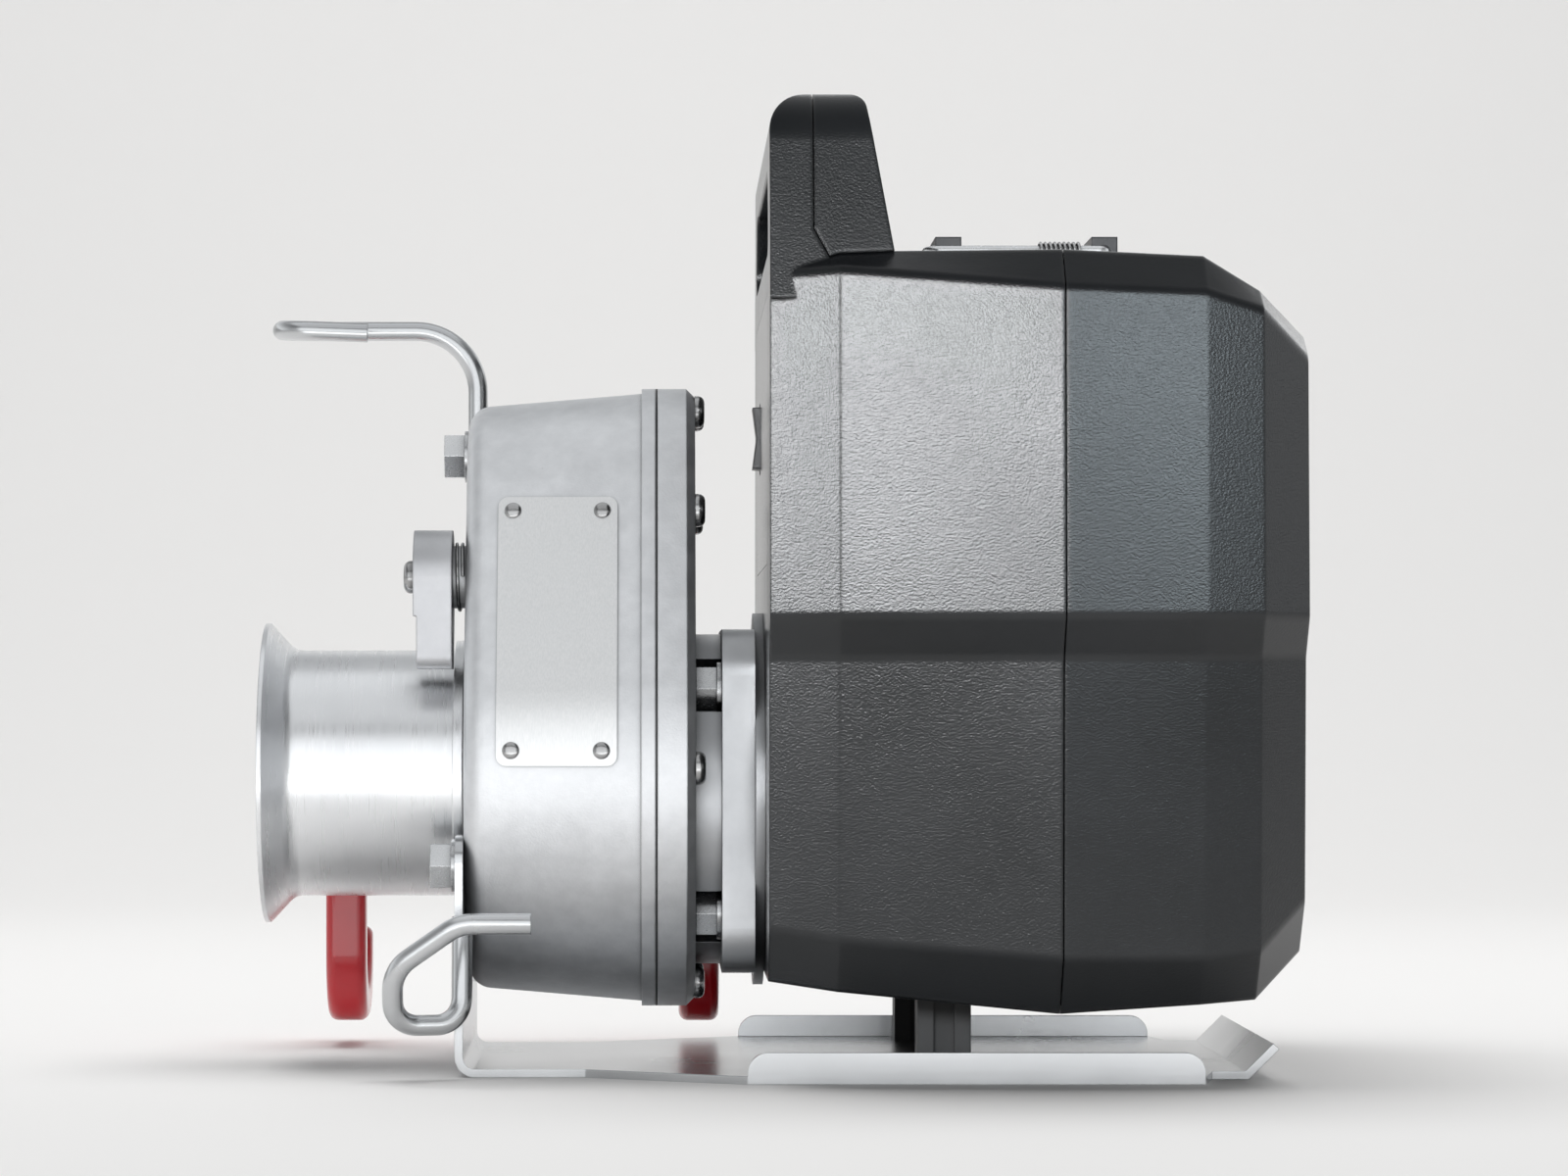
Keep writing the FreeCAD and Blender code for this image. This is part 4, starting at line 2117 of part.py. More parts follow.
def build_rope_lock():
    body = new_body("rope_lock")
    crown = size.lock_crown
    outline = Drawing(body, "YZ_Plane", lock_front).outline([
        (-size.lock_toe_outer, -size.lock_toe_drop, size.lock_toe_radius),
        (size.lock_toe_inner, -size.lock_toe_drop, size.lock_toe_radius),
        (crown, 0),
        (crown, crown, crown * size.lock_round_share),
        (-crown, crown, crown * size.lock_round_share),
        (-crown, 0),
    ])
    outline.circle(0, 0, size.lock_screw_radius + size.running_clearance)
    pad(body, outline, size.lock_thickness)
    step = Drawing(body, "XZ_Plane").rectangle(
        lock_front - size.overrun, lock_front + size.lock_step,
        -size.lock_toe_drop - size.overrun, -size.lock_step_drop,
    )
    pocket(body, step, symmetric=True)
    place(keep(body, "rope_lock"), 0, -size.lock_pivot_reach, lock_height)
    reach = size.lock_thickness + size.lock_boss_height + size.front_thread_depth
    screw = button_screw(
        "lock_screw", size.lock_screw_radius, reach + size.part_clearance,
        size.button_head_radius, size.button_head_height,
    )
    turned = FreeCAD.Rotation(Z_AXIS, FULL_TURN / 2)
    keep(screw, "lock_screw")
    place(screw, lock_front - size.part_clearance, -size.lock_pivot_reach, lock_height, turned)
    coil_radius = size.lock_boss_radius + size.spring_wire_radius + size.part_clearance
    coil_length = size.lock_boss_height - size.part_clearance * 2
    coil = coil_solid(coil_radius, coil_length, size.lock_spring_turns, size.spring_wire_radius)
    start = point(lock_back + size.part_clearance, -size.lock_pivot_reach, lock_height)
    shaped("lock_spring", coil.translated(start))


bar_y = size.anchor_pad_face + size.anchor_plate_thickness + size.anchor_bar_radius
front_hook_x = drum_front + size.front_hook_setback
rear_hook_x = cover_outer + size.rear_hook_setback


def build_anchor():
    """The bracket plate, the bar welded to it and the collars that hold the hooks."""
    body = new_body("anchor_bar")
    centre = -size.anchor_pad_centre
    plate = Drawing(body, "XZ_Plane", -size.anchor_pad_face).rectangle(
        centre - size.anchor_pad_half_length, centre + size.anchor_pad_half_length,
        -size.anchor_pad_half_height, size.anchor_pad_half_height,
    )
    for across, up in anchor_bolt_spots():
        plate.circle(across, up, size.hex_bolt_radius + size.running_clearance)
    pad(body, plate, size.anchor_plate_thickness, reverse=True)
    reach = size.hook_thickness / 2 + size.part_clearance
    bar_start = front_hook_x - reach - size.collar_width
    bar_end = rear_hook_x + reach + size.collar_width
    bar = Drawing(body, "YZ_Plane", bar_start).circle(bar_y - size.weld_depth, 0, size.anchor_bar_radius)
    pad(body, bar, bar_end - bar_start)
    for hook_x in (front_hook_x, rear_hook_x):
        for collar_x in (hook_x - reach - size.collar_width, hook_x + reach):
            collar = Drawing(body, "YZ_Plane", collar_x)
            collar.circle(bar_y - size.weld_depth, 0, size.collar_radius)
            pad(body, collar, size.collar_width)
    place(keep(body, "anchor_bar"), 0, 0, drum_axis_height)
    bolt = hex_bolt("anchor_bolt", size.anchor_plate_thickness + size.anchor_thread_depth)
    turned = FreeCAD.Rotation(Z_AXIS, -FULL_TURN / 4)
    seat = size.anchor_pad_face + size.anchor_plate_thickness
    copies("anchor_bolts", bolt, [
        (across, seat, drum_axis_height + up) for across, up in anchor_bolt_spots()
    ], turned)


def build_hook(name, x):
    """A safety hook that swings on the anchor bar, with its latch and pin."""
    body = new_body(name)
    eye = Drawing(body, "YZ_Plane").circle(0, 0, size.hook_eye_radius)
    pad(body, eye, size.hook_thickness, symmetric=True)
    wide = size.hook_half_width
    inner = size.hook_inner_half
    form = Drawing(body, "YZ_Plane").outline([
        (wide, -size.hook_tip_level, size.hook_tip_round),
        (inner, -size.hook_tip_level, size.hook_tip_round),
        (inner, -size.hook_inner_floor, size.hook_inner_round),
        (-inner, -size.hook_inner_floor, size.hook_inner_round),
        (-inner, -size.hook_inner_shoulder, size.hook_inner_round),
        (size.hook_neck_front, -size.hook_neck_drop),
        (size.hook_neck_front, 0),
        (-inner, 0),
        (-wide, -size.hook_back_shoulder, size.hook_back_round),
        (-wide, -size.hook_length, size.hook_outer_round),
        (wide, -size.hook_length, size.hook_outer_round),
    ])
    pad(body, form, size.hook_thickness, symmetric=True)
    reach = size.latch_pivot_reach
    drop = size.latch_pivot_drop
    lug = Drawing(body, "YZ_Plane").circle(reach, -drop, size.latch_lug_radius)
    pad(body, lug, size.hook_thickness, symmetric=True)
    face = size.hook_thickness / 2
    soften(body, "Fillet", size.hook_edge_radius,
           lambda edge: edge_lies_at(edge, X_AXIS, face) or edge_lies_at(edge, X_AXIS, -face))
    fork = Drawing(body, "YZ_Plane").circle(reach, -drop, size.latch_fork_radius)
    pocket(body, fork, size.latch_width + size.part_clearance * 2, symmetric=True)
    bores = Drawing(body, "YZ_Plane").circle(0, 0, size.anchor_bar_radius + size.hook_eye_clearance)
    bores.circle(reach, -drop, size.latch_pin_radius + size.running_clearance)
    pocket(body, bores, symmetric=True)
    y = bar_y - size.weld_depth
    place(keep(body, name), x, y, drum_axis_height)
    latch = new_body(name + "_latch")
    hub = size.latch_hub_radius
    length = size.hook_tip_level - drop + size.latch_overlap
    tip = size.latch_tip_half
    plate = Drawing(latch, "YZ_Plane").outline([
        (-tip, -length, size.latch_tip_radius),
        (tip, -length, size.latch_tip_radius),
        (hub, 0),
        (hub, hub, hub * size.lock_round_share),
        (-hub, hub, hub * size.lock_round_share),
        (-hub, 0),
    ])
    plate.circle(0, 0, size.latch_pin_radius + size.running_clearance)
    pad(latch, plate, size.latch_width, symmetric=True)
    pivot_z = drum_axis_height - drop
    place(keep(latch, name + "_latch"), x, y + reach, pivot_z)
    pin = doc.addObject("Part::Cylinder", name + "_pin")
    bind(pin, "Radius", size.latch_pin_radius)
    bind(pin, "Height", size.hook_thickness)
    pin_start = x - size.hook_thickness / 2
    place(keep(pin, name + "_pin"), pin_start, y + reach, pivot_z, FreeCAD.Rotation(Z_AXIS, X_AXIS))


def build_all():
    build_gear_case()
    build_case_gasket()
    build_gear_cover()
    build_case_screws()
    build_nameplate()
    build_nameplate_rivets()
    build_drum()
    build_drum_shaft()
    build_keys()
    build_drum_nut()
    build_bearings_and_seals()
    build_bearing_bridge()
    build_gears()
    build_motor_adapter()
    build_adapter_fixings()
    build_motor_plate()
    build_motor_can()
    build_motor_stator()
    build_motor_rotor()
    build_cooling_fan()
    build_front_shell()
    build_rear_shell()
    build_handle_cover()
    build_front_panel()
    build_power_unit()
    build_latch()
    build_skid_plate()
    build_support_posts()
    build_rope_rods()
    build_rope_lock()
    build_anchor()
    build_hook("front_hook", front_hook_x)
    build_hook("rear_hook", rear_hook_x)


def check_document():
    doc.recompute()
    for thing in doc.Objects:
        if "Invalid" in thing.State or "Error" in thing.State:
            raise RuntimeError("%s did not compute: %s" % (thing.Name, thing.State))
    for node in nodes:
        if node.Shape.isNull() or not node.Shape.isValid() or not node.Shape.Solids:
            raise RuntimeError("%s has no valid solid" % node.Label)


def write_parts():
    os.makedirs("parts", exist_ok=True)
    for node in nodes:
        node.Shape.exportStep("parts/%s.step" % node.Label)


build_all()
check_document()
write_parts()
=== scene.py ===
"""Looks of the battery capstan winch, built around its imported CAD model."""
import json
import math

import bpy
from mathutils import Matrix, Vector


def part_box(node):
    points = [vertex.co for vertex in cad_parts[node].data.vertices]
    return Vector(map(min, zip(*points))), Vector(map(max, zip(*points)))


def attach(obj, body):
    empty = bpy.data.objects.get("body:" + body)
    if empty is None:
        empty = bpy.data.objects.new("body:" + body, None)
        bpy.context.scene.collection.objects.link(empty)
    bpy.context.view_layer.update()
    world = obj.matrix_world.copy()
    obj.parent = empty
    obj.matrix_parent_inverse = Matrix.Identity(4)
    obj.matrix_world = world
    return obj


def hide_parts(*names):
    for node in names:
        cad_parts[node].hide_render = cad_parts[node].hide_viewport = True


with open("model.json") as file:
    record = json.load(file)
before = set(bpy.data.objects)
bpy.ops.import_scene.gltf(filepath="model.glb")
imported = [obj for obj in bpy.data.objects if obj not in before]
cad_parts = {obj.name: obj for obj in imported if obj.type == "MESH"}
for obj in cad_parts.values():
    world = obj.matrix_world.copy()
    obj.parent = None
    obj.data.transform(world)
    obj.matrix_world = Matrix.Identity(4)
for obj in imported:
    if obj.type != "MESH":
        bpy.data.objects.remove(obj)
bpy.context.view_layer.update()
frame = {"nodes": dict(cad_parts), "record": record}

MILLIMETRE = 0.001

# The photograph's frame, and where in it the direction straight across the winch vanishes
PHOTO_WIDTH = 1600
PHOTO_HEIGHT = 1200
VANISHING_ACROSS = 669
VANISHING_DOWN = 715
FOCAL_PIXELS = 5264
SENSOR_WIDTH = 36.0
CAMERA_DISTANCE = 1.600
CAMERA_HEIGHT = 0.1124

WHITE = (1.0, 1.0, 1.0)
BLACK = (0.0, 0.0, 0.0)
COOL = (0.97, 0.985, 1.0)
BLUE = (0.80, 0.93, 1.0)
PALE_SKY = (0.965, 0.985, 1.0)
FLOOR_GREY = (0.88, 0.87, 0.86)

DARK_SLOTS = ("housing_plastic", "latch_plastic", "panel_plastic", "battery_plastic", "black_rubber")

# Sockets of a colour Mix node, which shares its socket names with the number and vector ones
MIX_FIRST = 6
MIX_SECOND = 7
MIX_RESULT = 2


# Node helpers

def new_material(name):
    material = bpy.data.materials.new(name)
    material.use_nodes = True
    tree = material.node_tree
    return material, tree, tree.nodes["Principled BSDF"]


def add_node(tree, kind, **values):
    node = tree.nodes.new("ShaderNode" + kind)
    for key, value in values.items():
        if hasattr(node, key):
            setattr(node, key, value)
        else:
            node.inputs[key].default_value = value
    return node


def local_place(tree, stretch=(1.0, 1.0, 1.0)):
    """Object coordinates in metres, stretched along the given axes."""
    place = add_node(tree, "TexCoord")
    mapping = add_node(tree, "Mapping", Scale=stretch)
    tree.links.new(place.outputs["Object"], mapping.inputs["Vector"])
    return mapping.outputs["Vector"]


def noise(tree, place, scale, detail=3.0, roughness=0.5):
    node = add_node(tree, "TexNoise", Scale=scale, Detail=detail, Roughness=roughness)
    tree.links.new(place, node.inputs["Vector"])
    return node.outputs["Fac"]


def ramp(tree, value, low, high, low_colour, high_colour):
    """One colour up to the value low, the other from high on, and a blend between."""
    node = add_node(tree, "ValToRGB")
    first, last = node.color_ramp.elements
    first.position = low
    last.position = high
    first.color = (*low_colour, 1.0)
    last.color = (*high_colour, 1.0)
    tree.links.new(value, node.inputs["Fac"])
    return node.outputs["Color"]


def map_range(tree, value, given, wanted):
    node = add_node(tree, "MapRange")
    node.inputs["From Min"].default_value = given[0]
    node.inputs["From Max"].default_value = given[1]
    node.inputs["To Min"].default_value = wanted[0]
    node.inputs["To Max"].default_value = wanted[1]
    tree.links.new(value, node.inputs["Value"])
    return node.outputs["Result"]


def rescale(tree, value, low, high):
    return map_range(tree, value, given=(0.0, 1.0), wanted=(low, high))


def mix_colour(tree, first, second, share=None, blend="MIX", constant_share=1.0):
    node = add_node(tree, "Mix", data_type="RGBA", blend_type=blend)
    if share is None:
        node.inputs["Factor"].default_value = constant_share
    else:
        tree.links.new(share, node.inputs["Factor"])
    tree.links.new(first, node.inputs[MIX_FIRST])
    tree.links.new(second, node.inputs[MIX_SECOND])
    return node.outputs[MIX_RESULT]


def bump(tree, height, depth, strength=1.0, under=None):
    """A normal that follows a pattern up to depth metres high, over another normal."""
    node = add_node(tree, "Bump", Strength=strength, Distance=depth)
    tree.links.new(height, node.inputs["Height"])
    if under is not None:
        tree.links.new(under, node.inputs["Normal"])
    return node.outputs["Normal"]


def rounded_edges(tree, radius):
    node = add_node(tree, "Bevel", samples=6, Radius=radius)
    return node.outputs["Normal"]


def paint_crevice_shade(tree, colour, reach, deepest):
    """Paints shade into a colour in crevices and recesses, darker where the ambient occlusion finds surfaces
    close by.
    """
    hollow = add_node(tree, "AmbientOcclusion", samples=6, Distance=reach)
    deep_shade = (deepest, deepest, deepest)
    # Painted shade: white in the open, down to the deepest grey where the crevices close in
    crevice_shade = ramp(tree, hollow.outputs["AO"], low=0.25, high=0.85, low_colour=deep_shade, high_colour=WHITE)
    return mix_colour(tree, colour, crevice_shade, blend="MULTIPLY")


# Materials

def cast_aluminium():
    """Sand-cast and tumbled: cloudy, mottled, with a few dark specks."""
    material, tree, body = new_material("cast_aluminium")
    body.inputs["Metallic"].default_value = 1.0
    place = local_place(tree)
    clouds = noise(tree, place, scale=26.0, detail=5.0)
    mottle = noise(tree, place, scale=150.0, detail=4.0, roughness=0.6)
    grain = noise(tree, place, scale=1400.0, detail=2.0)
    specks = noise(tree, place, scale=330.0, detail=5.0, roughness=0.7)
    base = ramp(tree, clouds, 0.3, 0.7, (0.73, 0.74, 0.755), (0.84, 0.85, 0.865))
    worn = ramp(tree, mottle, 0.35, 0.70, (0.68, 0.69, 0.705), (0.87, 0.88, 0.895))
    clean = mix_colour(tree, base, worn, constant_share=0.45)
    stain = ramp(tree, specks, 0.72, 0.80, BLACK, WHITE)
    dark = ramp(tree, clouds, 0.0, 1.0, (0.40, 0.40, 0.41), (0.52, 0.52, 0.53))
    soiled = mix_colour(tree, clean, dark, share=stain)
    # Painted shade: the cast colour is darkened in crevices and recesses
    tree.links.new(paint_crevice_shade(tree, soiled, reach=7.0 * MILLIMETRE, deepest=0.30), body.inputs["Base Color"])
    tree.links.new(rescale(tree, mottle, 0.42, 0.60), body.inputs["Roughness"])
    edges = rounded_edges(tree, 0.8 * MILLIMETRE)
    skin = bump(tree, grain, depth=0.08 * MILLIMETRE, strength=0.6, under=edges)
    tree.links.new(skin, body.inputs["Normal"])
    return material


def turned_aluminium():
    """Polished on a lathe: fine rings square to the drum's axis."""
    material, tree, body = new_material("turned_aluminium")
    body.inputs["Metallic"].default_value = 1.0
    rings = noise(tree, local_place(tree, stretch=(1.0, 0.02, 0.02)), scale=1800.0, detail=4.0)
    clouds = noise(tree, local_place(tree), scale=30.0, detail=3.0)
    colour = ramp(tree, clouds, 0.3, 0.7, (0.80, 0.81, 0.825), (0.90, 0.91, 0.92))
    tree.links.new(colour, body.inputs["Base Color"])
    tree.links.new(rescale(tree, rings, 0.16, 0.46), body.inputs["Roughness"])
    edges = rounded_edges(tree, 0.6 * MILLIMETRE)
    skin = bump(tree, rings, depth=0.03 * MILLIMETRE, strength=0.5, under=edges)
    tree.links.new(skin, body.inputs["Normal"])
    return material


def metal(name, low, high, smooth, rough, scale=60.0, edge=0.4, scratch=0.006):
    """A plated or machined metal with cloudy colour. Edge radius and scratch depth are in millimetres."""
    material, tree, body = new_material(name)
    body.inputs["Metallic"].default_value = 1.0
    grains_per_cloud = 20.0
    place = local_place(tree)
    clouds = noise(tree, place, scale=scale, detail=4.0)
    grain = noise(tree, place, scale=scale * grains_per_cloud, detail=2.0)
    colour = ramp(tree, clouds, 0.3, 0.7, low, high)
    # Painted shade: the colour is darkened in crevices and recesses
    tree.links.new(paint_crevice_shade(tree, colour, reach=6.0 * MILLIMETRE, deepest=0.15), body.inputs["Base Color"])
    tree.links.new(rescale(tree, grain, smooth, rough), body.inputs["Roughness"])
    edges = rounded_edges(tree, edge * MILLIMETRE)
    skin = bump(tree, grain, depth=scratch * MILLIMETRE, strength=0.5, under=edges)
    tree.links.new(skin, body.inputs["Normal"])
    return material


def sheet_steel():
    """Bright rolled sheet with faint lines along its length and cloudy gloss."""
    material, tree, body = new_material("sheet_steel")
    body.inputs["Metallic"].default_value = 1.0
    lines = noise(tree, local_place(tree, stretch=(0.03, 1.0, 1.0)), scale=900.0, detail=3.0)
    clouds = noise(tree, local_place(tree), scale=18.0, detail=5.0)
    colour = ramp(tree, clouds, 0.3, 0.75, (0.55, 0.56, 0.57), (0.68, 0.69, 0.70))
    tree.links.new(colour, body.inputs["Base Color"])
    tree.links.new(rescale(tree, clouds, 0.16, 0.34), body.inputs["Roughness"])
    edges = rounded_edges(tree, 0.4 * MILLIMETRE)
    skin = bump(tree, lines, depth=0.01 * MILLIMETRE, strength=0.5, under=edges)
    tree.links.new(skin, body.inputs["Normal"])
    return material


def brushed_plate():
    """The bare nameplate: brushed along its height."""
    material, tree, body = new_material("brushed_plate")
    body.inputs["Metallic"].default_value = 0.9
    brush = noise(tree, local_place(tree, stretch=(1.0, 1.0, 0.02)), scale=2600.0, detail=4.0)
    colour = ramp(tree, brush, 0.2, 0.8, (0.78, 0.79, 0.79), (0.90, 0.90, 0.90))
    tree.links.new(colour, body.inputs["Base Color"])
    tree.links.new(rescale(tree, brush, 0.34, 0.48), body.inputs["Roughness"])
    tree.links.new(bump(tree, brush, depth=0.01 * MILLIMETRE, strength=0.4), body.inputs["Normal"])
    return material


def grained_plastic(name, colour, worn, smooth, rough, edge):
    """Moulded black plastic with a fine grain and paler, duller smudges."""
    material, tree, body = new_material(name)
    place = local_place(tree)
    clouds = noise(tree, place, scale=14.0, detail=6.0, roughness=0.6)
    grain = noise(tree, place, scale=1600.0, detail=2.0)
    tree.links.new(ramp(tree, clouds, 0.35, 0.75, colour, worn), body.inputs["Base Color"])
    tree.links.new(rescale(tree, clouds, smooth, rough), body.inputs["Roughness"])
    body.inputs["Specular IOR Level"].default_value = 0.55
    edges = rounded_edges(tree, edge * MILLIMETRE)
    skin = bump(tree, grain, depth=0.085 * MILLIMETRE, strength=0.9, under=edges)
    tree.links.new(skin, body.inputs["Normal"])
    return material


def rubber():
    material, tree, body = new_material("black_rubber")
    dust = noise(tree, local_place(tree), scale=60.0, detail=5.0)
    colour = ramp(tree, dust, 0.4, 0.8, (0.012, 0.012, 0.013), (0.03, 0.03, 0.03))
    tree.links.new(colour, body.inputs["Base Color"])
    tree.links.new(rescale(tree, dust, 0.45, 0.65), body.inputs["Roughness"])
    edges = rounded_edges(tree, 0.8 * MILLIMETRE)
    skin = bump(tree, dust, depth=0.05 * MILLIMETRE, strength=0.4, under=edges)
    tree.links.new(skin, body.inputs["Normal"])
    return material


def red_paint():
    """Glossy powder paint with a faint orange-peel skin."""
    material, tree, body = new_material("red_paint")
    place = local_place(tree)
    peel = noise(tree, place, scale=380.0, detail=2.0)
    clouds = noise(tree, place, scale=40.0, detail=4.0)
    colour = ramp(tree, clouds, 0.3, 0.7, (0.50, 0.008, 0.016), (0.60, 0.012, 0.022))
    tree.links.new(colour, body.inputs["Base Color"])
    body.inputs["Roughness"].default_value = 0.28
    body.inputs["Coat Weight"].default_value = 0.6
    body.inputs["Coat Roughness"].default_value = 0.08
    edges = rounded_edges(tree, 1.5 * MILLIMETRE)
    skin = bump(tree, peel, depth=0.05 * MILLIMETRE, strength=0.4, under=edges)
    tree.links.new(skin, body.inputs["Normal"])
    return material


def floor_paper():
    material, tree, body = new_material("floor_paper")
    body.inputs["Base Color"].default_value = (*FLOOR_GREY, 1.0)
    body.inputs["Roughness"].default_value = 0.9
    body.inputs["Specular IOR Level"].default_value = 0.1
    return material


def dress_nodes():
    """One material for each of the record's slots."""
    looks = {
        "cast_aluminium": cast_aluminium(),
        "drum_aluminium": turned_aluminium(),
        "machined_aluminium": metal(
            "machined_aluminium", (0.54, 0.55, 0.565), (0.66, 0.67, 0.685), smooth=0.36, rough=0.48),
        "nameplate_aluminium": brushed_plate(),
        "zinc_steel": metal(
            "zinc_steel", (0.70, 0.71, 0.72), (0.82, 0.83, 0.84), smooth=0.20, rough=0.32),
        "polished_steel": sheet_steel(),
        "dark_steel": metal(
            "dark_steel", (0.40, 0.40, 0.40), (0.52, 0.52, 0.52), smooth=0.16, rough=0.28),
        "gear_steel": metal(
            "gear_steel", (0.36, 0.36, 0.37), (0.48, 0.48, 0.49), smooth=0.25, rough=0.36),
        "bearing_steel": metal(
            "bearing_steel", (0.52, 0.52, 0.54), (0.64, 0.64, 0.66), smooth=0.16, rough=0.26),
        "spring_steel": metal(
            "spring_steel", (0.55, 0.55, 0.55), (0.68, 0.68, 0.68), smooth=0.18, rough=0.30),
        "lock_steel": metal(
            "lock_steel", (0.50, 0.505, 0.52), (0.59, 0.595, 0.61), smooth=0.40, rough=0.54, edge=0.8),
        "housing_plastic": grained_plastic(
            "housing_plastic", (0.006, 0.0068, 0.0075), (0.011, 0.012, 0.0135),
            smooth=0.15, rough=0.29, edge=1.4),
        "latch_plastic": grained_plastic(
            "latch_plastic", (0.012, 0.012, 0.013), (0.018, 0.018, 0.020), smooth=0.36, rough=0.46, edge=0.8),
        "panel_plastic": grained_plastic(
            "panel_plastic", (0.008, 0.008, 0.009), (0.012, 0.012, 0.013), smooth=0.16, rough=0.24, edge=0.6),
        "battery_plastic": grained_plastic(
            "battery_plastic", (0.02, 0.02, 0.022), (0.03, 0.03, 0.032), smooth=0.36, rough=0.46, edge=1.0),
        "black_rubber": rubber(),
        "hook_red": red_paint(),
        "winding_copper": metal(
            "winding_copper", (0.42, 0.17, 0.08), (0.58, 0.26, 0.13), smooth=0.28, rough=0.42, scale=300.0),
        "rotor_iron": metal(
            "rotor_iron", (0.10, 0.10, 0.105), (0.16, 0.16, 0.165), smooth=0.40, rough=0.55),
    }
    for entry in frame["record"]["subparts"]:
        part = frame["nodes"][entry["node"]]
        part.data.materials.clear()
        part.data.materials.append(looks[entry["material_slot"]])


# Springs

def coil(name, node, body, turns, wire):
    """A wound spring along X in the space that its plain solid holds, one coil for each solid."""
    points_per_turn = 16
    low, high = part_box(node)
    length = high[0] - low[0] - 2 * wire
    outer = (high[2] - low[2]) / 2
    radius = outer - wire
    middle = (low[2] + high[2]) / 2
    centres = sorted({low[1] + outer, high[1] - outer})
    single = high[1] - low[1] < 3 * outer
    if single:
        centres = centres[:1]
    curve = bpy.data.curves.new(name, "CURVE")
    curve.dimensions = "3D"
    curve.bevel_depth = wire
    curve.bevel_resolution = 3
    curve.use_fill_caps = True
    count = int(turns * points_per_turn) + 1
    for centre in centres:
        spline = curve.splines.new("NURBS")
        spline.points.add(count - 1)
        for i, point in enumerate(spline.points):
            angle = 2 * math.pi * i / points_per_turn
            along = low[0] + wire + length * i / (count - 1)
            point.co = (along, centre + radius * math.cos(angle), middle + radius * math.sin(angle), 1.0)
        spline.order_u = 3
        spline.use_endpoint_u = True
    spring = bpy.data.objects.new(name, curve)
    spring.data.materials.append(frame["nodes"][node].data.materials[0])
    bpy.context.scene.collection.objects.link(spring)
    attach(spring, body)
    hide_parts(node)
    return spring


def build_springs():
    wire = 0.5 * MILLIMETRE
    return [
        coil("latch_spring_coils", "latch_springs", "bail", turns=9.0, wire=wire),
        coil("lock_spring_coil", "lock_spring", "frame", turns=1.5, wire=wire),
    ]


# Stage, light and camera

def build_floor():
    """A pale sheet that runs out under the winch and curves up behind it."""
    half_width = 9.0
    front = -9.0
    bend_start = 1.2
    bend_radius = 1.0
    height = 1.2
    steps = 12
    profile = [(front, 0.0), (bend_start, 0.0)]
    for step in range(1, steps + 1):
        angle = step * math.pi / 2 / steps
        profile.append((bend_start + bend_radius * math.sin(angle), bend_radius * (1 - math.cos(angle))))
    profile.append((bend_start + bend_radius, height))
    corners = []
    for side in (-half_width, half_width):
        corners += [(side, away, up) for away, up in profile]
    count = len(profile)
    faces = [(i, count + i, count + i + 1, i + 1) for i in range(count - 1)]
    mesh = bpy.data.meshes.new("floor")
    mesh.from_pydata(corners, [], faces)
    for face in mesh.polygons:
        face.use_smooth = True
    floor = bpy.data.objects.new("floor", mesh)
    floor.data.materials.append(floor_paper())
    bpy.context.scene.collection.objects.link(floor)
    return floor


def soft_box(name, place, target, width, height, power, receivers, tint=WHITE):
    """A soft light that shines on the receivers alone."""
    light = bpy.data.lights.new(name, "AREA")
    light.shape = "RECTANGLE"
    light.size = width
    light.size_y = height
    light.energy = power
    light.color = tint
    lamp = bpy.data.objects.new(name, light)
    lamp.location = place
    lamp.rotation_euler = (Vector(target) - Vector(place)).to_track_quat("-Z", "Y").to_euler()
    bpy.context.scene.collection.objects.link(lamp)
    lamp.light_linking.receiver_collection = receivers
    lamp.visible_camera = False


def build_world():
    """Brighter behind the winch than in front of it, and dimmer overhead."""
    world = bpy.data.worlds.new("studio")
    world.use_nodes = True
    tree = world.node_tree
    way = add_node(tree, "TexCoord")
    split = add_node(tree, "SeparateXYZ")
    tree.links.new(way.outputs["Generated"], split.inputs["Vector"])
    behind = map_range(tree, split.outputs["Y"], given=(-0.3, 0.5), wanted=(0.55, 1.50))
    overhead = map_range(tree, split.outputs["Z"], given=(0.15, 0.65), wanted=(1.0, 0.30))
    strength = add_node(tree, "Math", operation="MULTIPLY")
    tree.links.new(behind, strength.inputs[0])
    tree.links.new(overhead, strength.inputs[1])
    sky = tree.nodes["Background"]
    tree.links.new(strength.outputs["Value"], sky.inputs["Strength"])
    sky.inputs["Color"].default_value = (*PALE_SKY, 1.0)
    bpy.context.scene.world = world


def sort_parts(springs):
    """The black housing takes strong boxes that would burn out the bare metal, and the rest wide soft ones."""
    dark = bpy.data.collections.new("dark_parts")
    bright = bpy.data.collections.new("bright_parts")
    for entry in frame["record"]["subparts"]:
        group = dark if entry["material_slot"] in DARK_SLOTS else bright
        group.objects.link(frame["nodes"][entry["node"]])
    for spring in springs:
        bright.objects.link(spring)
    return dark, bright


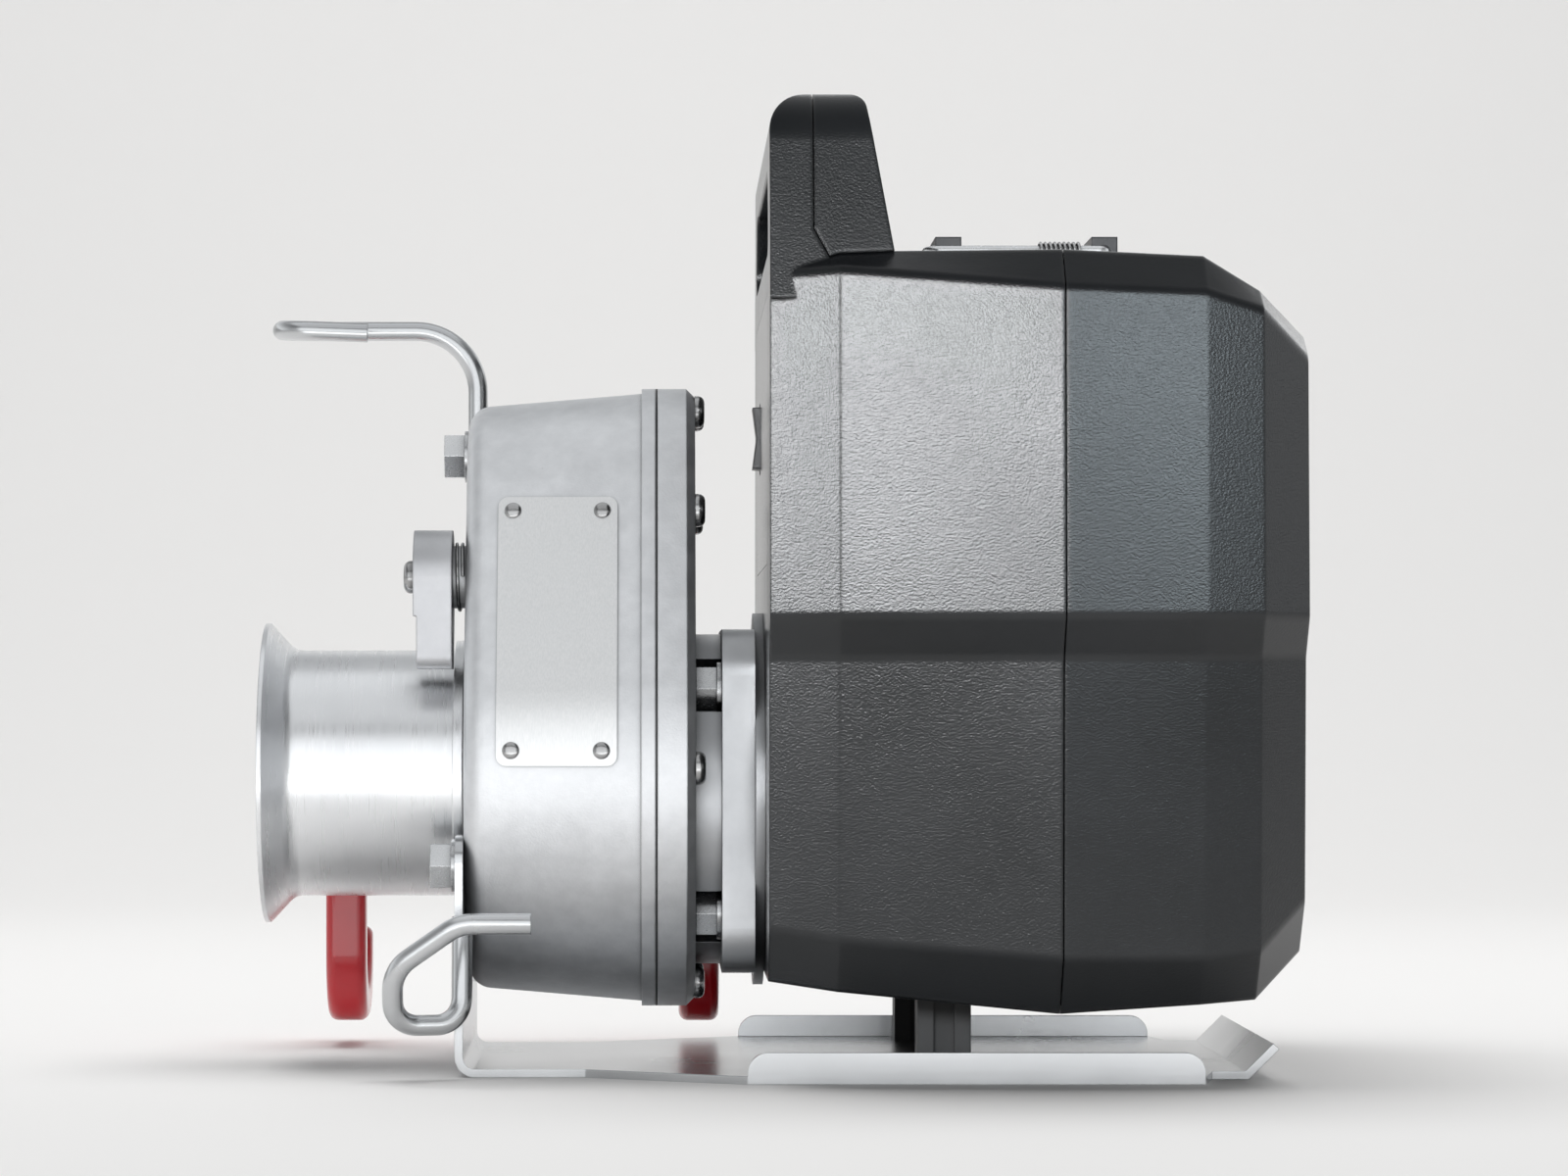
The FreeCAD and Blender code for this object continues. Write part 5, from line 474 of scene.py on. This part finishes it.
def build_light(floor, springs):
    build_world()
    dark, bright = sort_parts(springs)
    paper = bpy.data.collections.new("paper")
    paper.objects.link(floor)
    middle = (0.0, 0.0, 0.20)

    # On the black plastic: one box for each facet that shines in the photograph
    soft_box("front_box", place=(-0.22, -1.70, 0.47), target=middle, width=0.60, height=0.30,
             power=15.5, receivers=dark, tint=COOL)
    soft_box("left_box", place=(-1.66, -1.12, 0.48), target=middle, width=0.60, height=0.36,
             power=17.0, receivers=dark, tint=COOL)
    soft_box("handle_box", place=(0.05, -1.70, 0.78), target=middle, width=0.50, height=0.20,
             power=0.8, receivers=dark, tint=COOL)
    soft_box("right_box", place=(0.60, -1.60, 0.50), target=middle, width=0.40, height=0.34,
             power=4.2, receivers=dark, tint=BLUE)
    soft_box("rear_left_box", place=(-1.10, 1.40, 0.55), target=middle, width=0.60, height=0.50,
             power=1.8, receivers=dark, tint=COOL)
    soft_box("rear_right_box", place=(1.10, 1.40, 0.55), target=middle, width=0.60, height=0.50,
             power=1.8, receivers=dark, tint=COOL)

    # On the bare metal and the red paint: from the front, from above and from below
    soft_box("wide_box", place=(-0.20, -1.90, 0.68), target=(0.0, 0.0, 0.10), width=3.20, height=1.30,
             power=11.5, receivers=bright, tint=COOL)
    soft_box("overhead_box", place=(-0.10, -0.40, 1.9), target=(-0.1, 0.0, 0.0), width=2.6, height=2.4,
             power=11.0, receivers=bright, tint=COOL)
    soft_box("bounce_box", place=(-0.05, -0.42, 0.005), target=(-0.05, -0.36, 0.30), width=0.80, height=0.56,
             power=2.8, receivers=bright, tint=COOL)

    # On the floor and the backdrop
    soft_box("top_box", place=(0.05, 0.30, 2.2), target=(0.05, 0.3, 0.0), width=2.0, height=1.6,
             power=38.0, receivers=paper)
    soft_box("backdrop_box", place=(0.0, 0.60, 1.9), target=(0.0, 2.2, 0.6), width=2.4, height=1.0,
             power=5.0, receivers=paper)


def build_camera():
    camera = bpy.data.cameras.new("camera")
    camera.sensor_width = SENSOR_WIDTH
    camera.lens = FOCAL_PIXELS / PHOTO_WIDTH * SENSOR_WIDTH
    camera.shift_x = (PHOTO_WIDTH / 2 - VANISHING_ACROSS) / PHOTO_WIDTH
    camera.shift_y = (VANISHING_DOWN - PHOTO_HEIGHT / 2) / PHOTO_WIDTH
    holder = bpy.data.objects.new("camera", camera)
    holder.location = (0.0, -CAMERA_DISTANCE, CAMERA_HEIGHT)
    holder.rotation_euler = (math.pi / 2, 0.0, 0.0)
    bpy.context.scene.collection.objects.link(holder)
    bpy.context.scene.camera = holder


bpy.context.scene.view_settings.view_transform = "Standard"
dress_nodes()
springs = build_springs()
build_light(build_floor(), springs)
build_camera()
